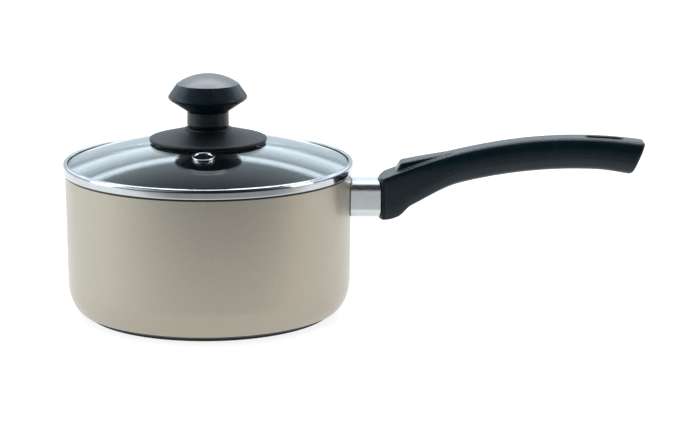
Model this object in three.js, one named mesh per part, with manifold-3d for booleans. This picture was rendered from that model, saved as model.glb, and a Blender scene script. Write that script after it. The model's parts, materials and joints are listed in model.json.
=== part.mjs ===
// Saucepan with a domed glass lid: a pressed aluminium pan with a bonded steel base, a phenolic
// handle screwed to a welded bracket, and a tempered glass lid with a steel rim and a phenolic knob.
// Millimetres, +Z up. The origin is the centre of the base on the table, and the handle lies along +X.
import * as THREE from 'three';
import { mergeVertices } from 'three/addons/utils/BufferGeometryUtils.js';
import Module from 'manifold-3d';

const wasm = await Module();
wasm.setup();

// ---------------------------------------------------------------- driving dimensions

// Fits
const gap = 0.3; // clearance between two pieces that seat on each other
const boreFit = 0.3; // radial clearance of a screw or sleeve in its hole
const overrun = 1; // a cutting tool runs this far past the faces it cuts

// Pan
const rimBoreRadius = 89.2; // inside of the rim, an 18 cm pan
const panHeight = 91.6; // table to rim
const wallThickness = 2;
const wallTaper = 0.8; // the wall leans in by this much from rim to corner
const floorThickness = 2.8;
const cornerReach = 11.2; // outside curve between floor and wall, across
const cornerHeight = 20; // the same curve, upwards
const baseThickness = 1.6;
const baseMargin = 0.4; // the base disc stops this far inside the flat of the floor
const baseChamfer = 0.5;

// Lid glass and its rim
const domeRadius = 260; // outer face of the glass
const glassThickness = 3.2;
const rimOverhang = 1.4; // the lid rim stands out past the pan wall
const rimBeadWidth = 1.5; // folded steel outside the glass edge
const rimSheet = 0.8; // lip over the glass and floor under it
const rimLipWidth = 1.3; // how far the lip reaches in over the glass
const rimEdgeRadius = 1.2;
const skirtClearance = 0.8; // locating skirt to the pan's bore, all round
const skirtThickness = 0.9;
const skirtDepth = 5;

// Steam vent
const ventDistance = 45.5; // from the lid's axis
const ventTurn = -90.5; // degrees about +Z, so that it stands nearly opposite the handle's side
const ventBoreRadius = 5;
const ventBarrelWall = 0.5;
const ventFlangeRadius = 7.1;
const ventFlangeThickness = 0.7;

// Knob
const flangeRadius = 37.5;
const flangeEdge = 2.4; // thickness at the outer edge
const flangeRise = 5.3; // cone from the edge up to the collar
const flangeWall = 2.2;
const flangeLipWidth = 2.5;
const flangeLipBevel = 0.5; // under the outer edge
const flangeTopBevel = 1; // from the outer edge up to the cone
const flangeLipHeight = 0.6; // inside of the lip, as a share of the edge's thickness
const collarRadius = 14.7;
const collarHeight = 1.4;
const collarWall = 1; // outside of the hub, inside the collar
const neckRadius = 13.3;
const neckHeight = 9.8;
const neckGrooveDepth = 0.7; // shadow line between collar and neck
const neckGrooveHeight = 0.9;
const headRadius = 25.2;
const headUnderRise = 7.8; // under-cone from the neck to the widest band
const headBand = 2;
const bandUnderBevel = 0.9; // the widest band leans in by this much below
const bandTopBevel = 0.2; // and by this much above
const headCrownRadius = 19.8;
const headCrownRise = 7.6; // upper cone from the band to the crown edge
const headDomeRise = 6.4;
const insertWall = 1.5;
const insertLength = 12;

// Knob fixing, from below
const screwRadius = 2.5;
const screwHeadRadius = 4.4;
const screwHeadHeight = 2.8;
const screwHeadCrown = 0.6; // share of the head's radius that is flat, and of its height that is domed
const screwPoint = 0.6; // bevel at the tip
const recessReach = 0.5; // arm of the cross recess, as a share of the head's radius
const recessDepth = 0.55; // share of the head's height
const recessWidth = 1;
const sleeveWall = 1.5; // silicone between the screw and the hole in the glass
const gasketRadius = 12.5;
const gasketThickness = 1.5;
const underGasketRadius = 9.5;
const washerRadius = 8.5;
const washerThickness = 1.2;
const lockWasherRadius = 4.4;
const lockWasherThickness = 1.2;
const lockWasherSplit = 1;

// Handle bracket and ferrule
const tangHeight = 74.2; // table to the middle of the tang
const tangWidth = 13;
const tangThickness = 3;
const tangReach = 16.5; // how far the tang goes into the grip
const footClearance = 0.5; // foot to the inside of the ferrule
const footThickness = 2;
const ferruleWidth = 21;
const ferruleHeight = 23.6;
const ferruleCorner = 5.6;
const ferruleWall = 1.2;
const ferruleLength = 16.6; // pan wall to grip, on the centre line

// Grip
const gripLength = 170;
const gripNoseRadius = 26; // plan curve of the front face
const gripFrontTop = 13.2; // top of the front face above the tang
const gripRise = 26.8; // front top edge to the crest of the grip
const gripCrest = 0.745; // where the crest lies along the grip
const gripDepth = 20.3;
const heelTaper = 5; // extra depth that fades slowly behind the heel
const heelStep = 3.6; // extra depth that ends in a step behind the screw
const heelToe = 2.6; // the bottom edge rises by this much at the very front
const tailFlare = 0.2;
const tailLean = 23; // degrees, slope of the end face
const gripFrontWidth = 28;
const gripWidth = 20.5;
const gripTailWidth = 23;
const topFlatFront = 25;
const topFlatWidth = 11;
const gripEdge = 5.5; // height of the shoulders between the flats and the sides
const shoulderBase = 2; // height of the top shoulder where the top flat fills the width
const shoulderPitch = 0.5; // rise of the top shoulder for its width
const sideDraft = 0.8; // each side leans in by this much towards the bottom
const bottomEdge = 4.5; // width of the bottom shoulders
const frontNarrows = [0, 0.42]; // stretch in which the front narrows, as shares of the length
const tailWidens = [0.6, 1];
const tailDeepens = [0.84, 0.98];
const tailLeans = [0.78, 1];
const heelTapers = [0.08, 0.3];
const heelSteps = [0.075, 0.125];
const heelToes = [-0.01, 0.06];
const gripLead = 0.02; // share of the length drawn in front of the grip before its face is cut
const noseReach = 0.7; // half width of the front face's cut, as a share of the front width
const thumbRestLength = 50;
const thumbRestHeight = 5.4;
const thumbRestLedge = 3.2; // step beside the thumb rest at its front
const thumbRestSetback = 9.6;
const thumbRestFade = 1.5; // power by which its height fades
const thumbRestSlope = 0.7; // lean of its front face for its height
const thumbRestEdge = 1; // width of its rounded edges
const thumbRestShoulder = 0.5;
const thumbRestRoot = 2; // depth to which it is moulded into the grip
const slotLength = 23.5;
const slotWidth = 6.4;
const slotFromTail = 26;

// Handle screw, up through the heel into the nut on the tang
const handleScrewSetback = 10.5; // from the front of the grip
const nutAcrossFlats = 8;
const nutThickness = 4;
const screwWeb = 3.4; // grip material between the screw's seat and the socket
const screwTip = 1; // thread showing past the nut

// Facets
const roundSegments = 60;
const knobSegments = 40;
const smallSegments = 24;

// ---------------------------------------------------------------- derived places

const floorZ = baseThickness + gap;
const panRadius = rimBoreRadius + wallThickness;
const cornerTopZ = floorZ + cornerHeight;
const wallLowRadius = panRadius - wallTaper;
const floorFlatRadius = wallLowRadius - cornerReach;
const baseRadius = floorFlatRadius - baseMargin;

const lidSeatZ = panHeight + gap;
const rimRadius = panRadius + rimOverhang;
const glassEdgeRadius = rimRadius - rimBeadWidth - gap;
const glassSeatZ = lidSeatZ + rimSheet + gap;
const domeInnerRadius = domeRadius - glassThickness;
const domeCentreZ = glassSeatZ - Math.sqrt(domeInnerRadius ** 2 - glassEdgeRadius ** 2);
const domeTopZ = domeCentreZ + domeRadius;
const domeUnderZ = domeCentreZ + domeInnerRadius;
const screwBoreRadius = screwRadius + boreFit;
const sleeveRadius = screwBoreRadius + sleeveWall;
const glassHoleRadius = sleeveRadius + boreFit;

const gasketTopZ = domeTopZ + gap + gasketThickness;
const flangeEdgeZ = domeHeight(flangeRadius - flangeLipWidth, domeRadius) + gap;
const flangeShoulderZ = flangeEdgeZ + flangeEdge + flangeRise;
const collarTopZ = flangeShoulderZ + collarHeight;
const neckZ = collarTopZ + gap;
const bandZ = neckZ + neckHeight + headUnderRise;
const crownZ = bandZ + headBand + headCrownRise;
const insertRadius = screwBoreRadius + insertWall;
const insertZ = neckZ + gap;

const underGasketZ = domeHeight(underGasketRadius, domeInnerRadius) - gap;
const washerTopZ = underGasketZ - gasketThickness - gap;
const lockWasherTopZ = washerTopZ - washerThickness - gap;
const screwSeatZ = lockWasherTopZ - lockWasherThickness - gap;
const knobScrewTipZ = insertZ + insertLength - gap;

const gripFrontX = wallRadius(tangHeight) + gap + ferruleLength + gap;
const gripTailX = gripFrontX + gripLength;
const noseCentreX = gripFrontX + gripNoseRadius;
const tangEndX = gripFrontX + tangReach;
const tangTopZ = tangHeight + tangThickness / 2;
const tangUnderZ = tangHeight - tangThickness / 2;
const handleScrewX = gripFrontX + handleScrewSetback;
const nutZ = tangTopZ + gap;
const handleScrewTipZ = nutZ + nutThickness + screwTip;
const screwPocketZ = tangUnderZ - gap - screwWeb;
const handleScrewSeatZ = screwPocketZ - lockWasherThickness - 2 * gap;

// ---------------------------------------------------------------- helpers

/** Height of a sphere face of the lid at a distance from the lid's axis. */
function domeHeight(distance, radius) {
  return domeCentreZ + Math.sqrt(radius ** 2 - distance ** 2);
}

/** Outside radius of the pan wall at a height above the corner. */
function wallRadius(z) {
  const share = (panHeight - z) / (panHeight - cornerTopZ);
  return panRadius - wallTaper * share;
}

/** Points of an elliptical arc in a [radius, height] profile, angles in degrees. */
function arcPoints(centre, reach, rise, fromAngle, toAngle, steps) {
  const points = [];
  for (let i = 0; i <= steps; i += 1) {
    const angle = THREE.MathUtils.degToRad(THREE.MathUtils.lerp(fromAngle, toAngle, i / steps));
    points.push([centre[0] + reach * Math.cos(angle), centre[1] + rise * Math.sin(angle)]);
  }
  return points;
}

/** Points of a sphere face of the lid between two distances from the axis. */
function domePoints(fromDistance, toDistance, radius, steps) {
  const points = [];
  for (let i = 0; i <= steps; i += 1) {
    const distance = THREE.MathUtils.lerp(fromDistance, toDistance, i / steps);
    points.push([distance, domeHeight(distance, radius)]);
  }
  return points;
}

/** Turns [radius, height] points, listed anticlockwise, about +Z. */
function revolve(profile, segments = roundSegments) {
  const points = profile.map(([radius, height]) => new THREE.Vector2(radius, height));
  return new THREE.LatheGeometry(points, segments).rotateX(Math.PI / 2);
}

/** Turns a profile that closes on itself, such as the section of a ring. */
function revolveRing(profile, segments = roundSegments) {
  return revolve([...profile, profile[0]], segments);
}

/** Section of a flat ring between two radii and two heights. */
function ringSection(innerRadius, outerRadius, lowZ, highZ) {
  return [
    [innerRadius, lowZ],
    [outerRadius, lowZ],
    [outerRadius, highZ],
    [innerRadius, highZ],
  ];
}

/** Upright cylinder between two heights. */
function cylinder(x, y, radius, lowZ, highZ, segments = smallSegments) {
  const geometry = new THREE.CylinderGeometry(radius, radius, highZ - lowZ, segments);
  return geometry.rotateX(Math.PI / 2).translate(x, y, (lowZ + highZ) / 2);
}

/** Box between two corners. */
function box(low, high) {
  const size = high.map((value, axis) => value - low[axis]);
  const middle = high.map((value, axis) => (value + low[axis]) / 2);
  return new THREE.BoxGeometry(...size).translate(...middle);
}

/** Solid for cutting and joining, from a closed geometry. */
function toSolid(geometry) {
  const bare = geometry.clone();
  bare.deleteAttribute('normal');
  bare.deleteAttribute('uv');
  const merged = mergeVertices(bare, 1e-4);
  const index = merged.index.array;
  const triVerts = [];
  for (let i = 0; i < index.length; i += 3) {
    const [a, b, c] = [index[i], index[i + 1], index[i + 2]];
    if (a !== b && b !== c && c !== a) triVerts.push(a, b, c);
  }
  const mesh = new wasm.Mesh({
    numProp: 3,
    vertProperties: new Float32Array(merged.attributes.position.array),
    triVerts: new Uint32Array(triVerts),
  });
  return new wasm.Manifold(mesh);
}

/** Geometry of a solid that has been cut or joined. */
function toGeometry(solid) {
  const mesh = solid.getMesh();
  const geometry = new THREE.BufferGeometry();
  geometry.setAttribute('position', new THREE.BufferAttribute(mesh.vertProperties, 3));
  geometry.setIndex(new THREE.BufferAttribute(mesh.triVerts, 1));
  geometry.computeVertexNormals();
  return geometry;
}

/** A geometry less one or more others. */
function cut(geometry, ...tools) {
  const solid = tools.reduce((rest, tool) => rest.subtract(toSolid(tool)), toSolid(geometry));
  return toGeometry(solid);
}

/** Closed skin through equal rings of points, with flat fans over the ends. */
function loft(rings) {
  const count = rings[0].length;
  const last = (rings.length - 1) * count;
  const index = [];
  for (let ring = 0; ring < rings.length - 1; ring += 1) {
    for (let i = 0; i < count; i += 1) {
      const a = ring * count + i;
      const b = ring * count + ((i + 1) % count);
      index.push(a, a + count, b, b, a + count, b + count);
    }
  }
  for (let i = 1; i < count - 1; i += 1) {
    index.push(0, i, i + 1, last, last + i + 1, last + i);
  }
  const geometry = new THREE.BufferGeometry();
  geometry.setAttribute('position', new THREE.Float32BufferAttribute(rings.flat(2), 3));
  geometry.setIndex(index);
  return geometry;
}

/** Rounded rectangle outline, centred on the origin. */
function roundedRectangle(width, height, radius) {
  const shape = new THREE.Shape();
  const [x, y] = [width / 2 - radius, height / 2 - radius];
  shape.absarc(x, y, radius, 0, Math.PI / 2);
  shape.absarc(-x, y, radius, Math.PI / 2, Math.PI);
  shape.absarc(-x, -y, radius, Math.PI, 1.5 * Math.PI);
  shape.absarc(x, -y, radius, 1.5 * Math.PI, 2 * Math.PI);
  return shape;
}

// ---------------------------------------------------------------- pan

/** Pressed aluminium bowl of the pan, with a flat floor and a slightly tapered wall. */
function panBody() {
  const innerReach = cornerReach - wallThickness;
  const innerFloorZ = floorZ + floorThickness;
  const cornerCentre = [floorFlatRadius, cornerTopZ];
  return revolve([
    [0, floorZ],
    ...arcPoints(cornerCentre, cornerReach, cornerHeight, -90, 0, 6),
    [panRadius, panHeight],
    [rimBoreRadius, panHeight],
    ...arcPoints(cornerCentre, innerReach, cornerTopZ - innerFloorZ, 0, -90, 5),
    [0, innerFloorZ],
  ]);
}

/** Steel disc bonded under the floor, chamfered at its edge. */
function basePlate() {
  return revolve([
    [0, 0],
    [baseRadius - baseChamfer, 0],
    [baseRadius, baseChamfer],
    [baseRadius, baseThickness],
    [0, baseThickness],
  ]);
}

// ---------------------------------------------------------------- handle fixing

/** Outline of the ferrule's section, moved in by an inset. */
function ferruleSection(inset) {
  return roundedRectangle(ferruleWidth - 2 * inset, ferruleHeight - 2 * inset, ferruleCorner - inset);
}

/** Bar of a section drawn across the handle, along the tang between two places on X. */
function tangwise(section, fromX, toX) {
  const options = { depth: toX - fromX, bevelEnabled: false, curveSegments: 5 };
  const bar = new THREE.ExtrudeGeometry(section, options);
  return bar.rotateY(Math.PI / 2).rotateX(Math.PI / 2).translate(fromX, 0, tangHeight);
}

/** Tang of the handle with a curved foot that is welded to the pan wall. */
function handleBracket() {
  const inset = ferruleWall + footClearance;
  const footLowZ = tangHeight - ferruleHeight / 2 + inset;
  const footHighZ = tangHeight + ferruleHeight / 2 - inset;
  const footRing = revolveRing([
    [wallRadius(footLowZ) + gap, footLowZ],
    [wallRadius(footLowZ) + gap + footThickness, footLowZ],
    [wallRadius(footHighZ) + gap + footThickness, footHighZ],
    [wallRadius(footHighZ) + gap, footHighZ],
  ], 2 * roundSegments);
  const window = tangwise(ferruleSection(inset), 0, 2 * panRadius);
  const tang = box(
    [wallRadius(tangHeight) + gap + footThickness / 2, -tangWidth / 2, tangUnderZ],
    [tangEndX, tangWidth / 2, tangTopZ],
  );
  const hole = cylinder(handleScrewX, 0, screwBoreRadius, tangUnderZ - overrun, tangTopZ + overrun);
  const foot = toSolid(footRing).intersect(toSolid(window));
  return toGeometry(foot.add(toSolid(tang)).subtract(toSolid(hole)));
}

/** Plan outline behind the curved front face of the grip, moved out by an offset. */
function gripPlan(offset) {
  const radius = gripNoseRadius + offset;
  const reach = gripFrontWidth * noseReach;
  const half = Math.asin(reach / radius);
  const shape = new THREE.Shape();
  shape.absarc(noseCentreX, 0, radius, Math.PI - half, Math.PI + half);
  shape.lineTo(gripTailX + gripNoseRadius, -reach);
  shape.lineTo(gripTailX + gripNoseRadius, reach);
  const depth = 2 * (tangHeight + gripRise);
  return new THREE.ExtrudeGeometry(shape, { depth, bevelEnabled: false, curveSegments: 24 });
}

/** Polished sleeve that hides the tang between the pan wall and the grip. */
function ferrule() {
  const section = ferruleSection(0);
  section.holes.push(ferruleSection(ferruleWall));
  const tube = tangwise(section, rimBoreRadius, gripFrontX + gripNoseRadius);
  const lowZ = tangHeight - ferruleHeight;
  const highZ = tangHeight + ferruleHeight;
  const panSide = revolve([
    [0, lowZ],
    [wallRadius(lowZ) + gap, lowZ],
    [wallRadius(highZ) + gap, highZ],
    [0, highZ],
  ], 2 * roundSegments);
  return cut(tube, panSide, gripPlan(gap));
}

// ---------------------------------------------------------------- grip

/** Height of the grip's top line, at a share of its length from the front. */
function gripTop(share) {
  const fall = (share - gripCrest) / gripCrest;
  return tangHeight + gripFrontTop + gripRise * (1 - fall ** 2);
}

/** Depth of the grip: a deep heel, an even middle and a slight flare at the tail. */
function gripDepthAt(share) {
  const taper = 1 - THREE.MathUtils.smoothstep(share, ...heelTapers);
  const step = 1 - THREE.MathUtils.smoothstep(share, ...heelSteps);
  const toe = 1 - THREE.MathUtils.smoothstep(share, ...heelToes);
  const tail = THREE.MathUtils.smoothstep(share, ...tailDeepens);
  return gripDepth + heelTaper * taper + heelStep * step - heelToe * toe + tailFlare * tail;
}

/** Half of the grip's full width. */
function gripHalfWidth(share) {
  const front = 1 - THREE.MathUtils.smoothstep(share, ...frontNarrows);
  const tail = THREE.MathUtils.smoothstep(share, ...tailWidens);
  const extra = (gripFrontWidth - gripWidth) * front + (gripTailWidth - gripWidth) * tail;
  return (gripWidth + extra) / 2;
}

/** Half of the flat along the top of the grip. */
function topFlatHalf(share) {
  const front = 1 - THREE.MathUtils.smoothstep(share, ...frontNarrows);
  return (topFlatWidth + (topFlatFront - topFlatWidth) * front) / 2;
}

/** Eight-sided section of the grip, leaning back towards the tail's end face. */
function gripSection(share) {
  const x = gripFrontX + share * gripLength;
  const top = gripTop(share);
  const bottom = top - gripDepthAt(share);
  const half = gripHalfWidth(share);
  const flat = topFlatHalf(share);
  const shoulder = Math.min(gripEdge, shoulderPitch * (half - flat) + shoulderBase);
  const slope = Math.tan(THREE.MathUtils.degToRad(tailLean));
  const lean = slope * THREE.MathUtils.smoothstep(share, ...tailLeans);
  const side = [
    [flat, top],
    [half, top - shoulder],
    [half - sideDraft, bottom + gripEdge],
    [half - bottomEdge, bottom],
  ];
  const outline = [...side, ...side.map(([y, z]) => [-y, z]).reverse()];
  return outline.map(([y, z]) => [x - lean * (top - z), y, z]);
}

/** Wedge on top of the grip for the thumb, highest at its front and flush at its back. */
function thumbRest() {
  const rings = [];
  const steps = 10;
  for (let i = 0; i <= steps; i += 1) {
    const along = i / steps;
    const x = thumbRestSetback + along * thumbRestLength;
    const share = x / gripLength;
    const height = thumbRestHeight * (1 - along) ** thumbRestFade;
    const half = topFlatHalf(share) - thumbRestLedge * (1 - along) - gap;
    const slope = i === 0 ? thumbRestSlope * thumbRestHeight : 0;
    const low = gripTop(share) - thumbRestRoot;
    const high = gripTop(share) + height - gap * along;
    const shoulder = high - height / 2 - thumbRestShoulder;
    rings.push([
      [gripFrontX + x + slope, half - thumbRestEdge, high],
      [gripFrontX + x, half, shoulder],
      [gripFrontX + x, half, low],
      [gripFrontX + x, -half, low],
      [gripFrontX + x, -half, shoulder],
      [gripFrontX + x + slope, thumbRestEdge - half, high],
    ]);
  }
  return loft(rings);
}

/** Moulded phenolic grip with its socket, screw bore and hanging slot. */
function handleGrip() {
  const stations = 30;
  const rings = [];
  for (let i = 0; i <= stations; i += 1) {
    rings.push(gripSection(THREE.MathUtils.lerp(-gripLead, 1, i / stations)));
  }
  const socket = box(
    [gripFrontX - gripNoseRadius, -tangWidth / 2 - gap, tangUnderZ - gap],
    [tangEndX + gap, tangWidth / 2 + gap, handleScrewTipZ + gap],
  );
  const belowHeel = tangHeight - gripDepth - heelTaper - heelStep;
  const screwBore = cylinder(handleScrewX, 0, screwBoreRadius, belowHeel, tangHeight);
  const pocketRadius = screwHeadRadius + boreFit;
  const screwPocket = cylinder(handleScrewX, 0, pocketRadius, belowHeel, screwPocketZ);
  const slotShape = roundedRectangle(slotLength, slotWidth, slotWidth / 2);
  const slotOptions = { depth: 4 * gripDepth, bevelEnabled: false, curveSegments: 6 };
  const slot = new THREE.ExtrudeGeometry(slotShape, slotOptions);
  slot.translate(gripTailX - slotFromTail, 0, gripTop(gripCrest) - 2 * gripDepth);
  const blank = toSolid(loft(rings)).add(toSolid(thumbRest())).intersect(toSolid(gripPlan(0)));
  return cut(toGeometry(blank), socket, screwBore, screwPocket, slot);
}

/** Pan-head screw with a cross recess, head down, from its seat up to its tip. */
function crossScrew(seatZ, tipZ) {
  const headLowZ = seatZ - screwHeadHeight;
  const blank = revolve([
    [0, headLowZ],
    [screwHeadRadius * screwHeadCrown, headLowZ],
    [screwHeadRadius, headLowZ + screwHeadHeight * screwHeadCrown],
    [screwHeadRadius, seatZ],
    [screwRadius, seatZ],
    [screwRadius, tipZ - screwPoint],
    [screwRadius - screwPoint, tipZ],
    [0, tipZ],
  ], smallSegments);
  const reach = screwHeadRadius * recessReach;
  const half = recessWidth / 2;
  const recessLowZ = headLowZ - overrun;
  const recessTopZ = headLowZ + screwHeadHeight * recessDepth;
  const along = box([-reach, -half, recessLowZ], [reach, half, recessTopZ]);
  const across = box([-half, -reach, recessLowZ], [half, reach, recessTopZ]);
  return cut(blank, along, across);
}

/** Split spring washer under a screw head, from its top face down. */
function lockWasher(topZ) {
  const lowZ = topZ - lockWasherThickness;
  const ring = revolveRing(ringSection(screwBoreRadius, lockWasherRadius, lowZ, topZ), smallSegments);
  const half = lockWasherSplit / 2;
  const split = box([0, -half, lowZ - overrun], [2 * lockWasherRadius, half, topZ + overrun]);
  return cut(ring, split);
}

/** Hexagon nut seated on the tang. */
function handleNut() {
  const cornerDistance = nutAcrossFlats / 2 / Math.cos(Math.PI / 6);
  const topZ = nutZ + nutThickness;
  const hexagon = cylinder(0, 0, cornerDistance, nutZ, topZ, 6);
  const thread = cylinder(0, 0, screwBoreRadius, nutZ - overrun, topZ + overrun);
  return cut(hexagon, thread);
}

// ---------------------------------------------------------------- lid

/** Vertical lid axis moved out to the vent and tipped square to the glass. */
function placeAtVent(object) {
  const turn = THREE.MathUtils.degToRad(ventTurn);
  const tip = Math.asin(ventDistance / domeRadius);
  object.rotation.set(0, tip, turn, 'ZYX');
  object.position.set(
    ventDistance * Math.cos(turn),
    ventDistance * Math.sin(turn),
    domeHeight(ventDistance, domeRadius),
  );
  object.updateMatrix();
  return object;
}

/** Domed tempered glass with its centre hole and vent hole. */
function lidGlass() {
  const dome = revolveRing([
    ...domePoints(glassHoleRadius, glassEdgeRadius, domeInnerRadius, 5),
    ...domePoints(glassEdgeRadius, glassHoleRadius, domeRadius, 5),
  ]);
  const holeRadius = ventBoreRadius + ventBarrelWall + boreFit;
  const drillReach = 3 * glassThickness;
  const drill = cylinder(0, 0, holeRadius, -drillReach, drillReach);
  drill.applyMatrix4(placeAtVent(new THREE.Object3D()).matrix);
  return cut(dome, drill);
}

/** Folded steel rim: a bead round the glass edge and a skirt that locates in the pan. */
function lidRim() {
  const lipRadius = glassEdgeRadius - rimLipWidth;
  const lipUnderZ = domeHeight(lipRadius, domeRadius) + gap;
  const rimTopZ = lipUnderZ + rimSheet;
  const skirtOuter = rimBoreRadius - skirtClearance;
  const skirtInner = skirtOuter - skirtThickness;
  const skirtLowZ = lidSeatZ - skirtDepth;
  const grooveLowZ = glassSeatZ - gap;
  const shoulder = [rimRadius - rimEdgeRadius, rimTopZ - rimEdgeRadius];
  return revolveRing([
    [skirtInner, skirtLowZ],
    [skirtOuter, skirtLowZ],
    [skirtOuter, lidSeatZ],
    [rimRadius - rimEdgeRadius / 2, lidSeatZ],
    [rimRadius, lidSeatZ + rimEdgeRadius / 2],
    ...arcPoints(shoulder, rimEdgeRadius, rimEdgeRadius, 0, 90, 2),
    [lipRadius, rimTopZ],
    [lipRadius, lipUnderZ],
    [glassEdgeRadius + gap, lipUnderZ],
    [glassEdgeRadius + gap, grooveLowZ],
    [skirtInner, grooveLowZ],
  ]);
}

/** Eyelet that lines the vent hole and is rolled over both faces of the glass. */
function ventGrommet() {
  const barrelRadius = ventBoreRadius + ventBarrelWall;
  const glassDip = ventFlangeRadius ** 2 / (2 * domeInnerRadius);
  const underZ = -glassThickness - glassDip - gap;
  return revolveRing([
    [ventBoreRadius, underZ - ventFlangeThickness],
    [ventFlangeRadius, underZ - ventFlangeThickness],
    [ventFlangeRadius, underZ],
    [barrelRadius, underZ],
    [barrelRadius, gap],
    [ventFlangeRadius, gap],
    [ventFlangeRadius - ventFlangeThickness / 2, gap + ventFlangeThickness],
    [ventBoreRadius, gap + ventFlangeThickness],
  ], smallSegments);
}

/** Conical skirt of the knob: a hub on the gasket and a thin lip resting near the glass. */
function knobFlange() {
  const hollowTopZ = flangeShoulderZ - flangeWall;
  const hubRadius = collarRadius - collarWall;
  const lipInner = flangeRadius - flangeLipWidth;
  return revolveRing([
    [screwBoreRadius, gasketTopZ + gap],
    [hubRadius, gasketTopZ + gap],
    [hubRadius, hollowTopZ],
    [lipInner, flangeEdgeZ + flangeEdge * flangeLipHeight],
    [lipInner, flangeEdgeZ],
    [flangeRadius - flangeLipBevel, flangeEdgeZ],
    [flangeRadius, flangeEdgeZ + flangeTopBevel],
    [flangeRadius - flangeTopBevel, flangeEdgeZ + flangeEdge],
    [collarRadius, flangeShoulderZ],
    [collarRadius, collarTopZ],
    [screwBoreRadius, collarTopZ],
  ], knobSegments);
}

/** Phenolic head of the knob, with a blind hole for its threaded insert. */
function knobHead() {
  const holeRadius = insertRadius + boreFit;
  const holeTopZ = insertZ + insertLength + gap;
  const domeSphere = (headCrownRadius ** 2 + headDomeRise ** 2) / (2 * headDomeRise);
  const domeAngle = THREE.MathUtils.radToDeg(Math.asin(headCrownRadius / domeSphere));
  const sphereCentre = [0, crownZ + headDomeRise - domeSphere];
  const crown = arcPoints(sphereCentre, domeSphere, domeSphere, 90 - domeAngle, 90, 5);
  crown[crown.length - 1][0] = 0;
  return revolve([
    [0, holeTopZ],
    [holeRadius, holeTopZ],
    [holeRadius, neckZ],
    [neckRadius - neckGrooveDepth, neckZ],
    [neckRadius, neckZ + neckGrooveHeight],
    [neckRadius, neckZ + neckHeight],
    [headRadius - bandUnderBevel, bandZ],
    [headRadius, bandZ + headBand / 2],
    [headRadius - bandTopBevel, bandZ + headBand],
    ...crown,
  ], knobSegments);
}

/** Gasket under the glass, with a sleeve that keeps the screw off the hole's edge. */
function underGasket() {
  return revolveRing([
    [screwBoreRadius, underGasketZ - gasketThickness],
    [underGasketRadius, underGasketZ - gasketThickness],
    [underGasketRadius, underGasketZ],
    [sleeveRadius, underGasketZ],
    [sleeveRadius, domeTopZ - gap],
    [screwBoreRadius, domeTopZ - gap],
  ], smallSegments);
}

// ---------------------------------------------------------------- assembly

const finishes = {
  paintedAluminium: { color: 0xb6ada0, roughness: 0.35, metalness: 0.7 },
  steel: { color: 0xc8cccf, roughness: 0.25, metalness: 1 },
  polishedSteel: { color: 0xd5d9db, roughness: 0.12, metalness: 1 },
  phenolic: { color: 0x1c262a, roughness: 0.4, metalness: 0 },
  glass: { color: 0xdcecf2, roughness: 0.05, metalness: 0 },
  silicone: { color: 0xd8d6cf, roughness: 0.7, metalness: 0 },
  brass: { color: 0xb89a55, roughness: 0.35, metalness: 1 },
};

/** Named mesh of one piece. */
function piece(name, finish, geometry) {
  const mesh = new THREE.Mesh(geometry, new THREE.MeshStandardMaterial(finishes[finish]));
  mesh.name = name;
  return mesh;
}

/** Mesh moved out to the axis of the handle screw. */
function atHandleScrew(mesh) {
  mesh.position.x = handleScrewX;
  return mesh;
}

const pan = new THREE.Group();
pan.add(
  piece('pan_body', 'paintedAluminium', panBody()),
  piece('base_plate', 'steel', basePlate()),
  piece('handle_bracket', 'steel', handleBracket()),
  piece('ferrule', 'polishedSteel', ferrule()),
  piece('handle_grip', 'phenolic', handleGrip()),
  atHandleScrew(piece('handle_screw', 'steel', crossScrew(handleScrewSeatZ, handleScrewTipZ))),
  atHandleScrew(piece('handle_lock_washer', 'steel', lockWasher(screwPocketZ - gap))),
  atHandleScrew(piece('handle_nut', 'steel', handleNut())),
);

const lid = new THREE.Group();
const gasketSection = ringSection(screwBoreRadius, gasketRadius, domeTopZ + gap, gasketTopZ);
const washerSection = ringSection(screwBoreRadius, washerRadius, washerTopZ - washerThickness, washerTopZ);
const insertSection = ringSection(screwBoreRadius, insertRadius, insertZ, insertZ + insertLength);
lid.add(
  piece('lid_glass', 'glass', lidGlass()),
  piece('lid_rim', 'polishedSteel', lidRim()),
  placeAtVent(piece('vent_grommet', 'polishedSteel', ventGrommet())),
  piece('knob_flange', 'phenolic', knobFlange()),
  piece('knob_head', 'phenolic', knobHead()),
  piece('knob_insert', 'brass', revolveRing(insertSection, smallSegments)),
  piece('knob_gasket', 'silicone', revolveRing(gasketSection, smallSegments)),
  piece('under_gasket', 'silicone', underGasket()),
  piece('knob_washer', 'steel', revolveRing(washerSection, smallSegments)),
  piece('knob_lock_washer', 'steel', lockWasher(lockWasherTopZ)),
  piece('knob_screw', 'steel', crossScrew(screwSeatZ, knobScrewTipZ)),
);

const saucepan = new THREE.Group();
saucepan.add(pan, lid);

export default saucepan;
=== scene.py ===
"""Looks of a saucepan with a domed glass lid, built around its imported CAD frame.

Sizes inside the classes are in millimetres, as a maker would give them, and every mesh is
written in metres in the frame's own coordinates: +Z up, +X along the handle, base at zero.
"""

import json
import logging
import math
from collections.abc import Callable, Iterable, Sequence
from dataclasses import dataclass
from enum import Enum

import bmesh
import bpy
from mathutils import Matrix, Vector

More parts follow.
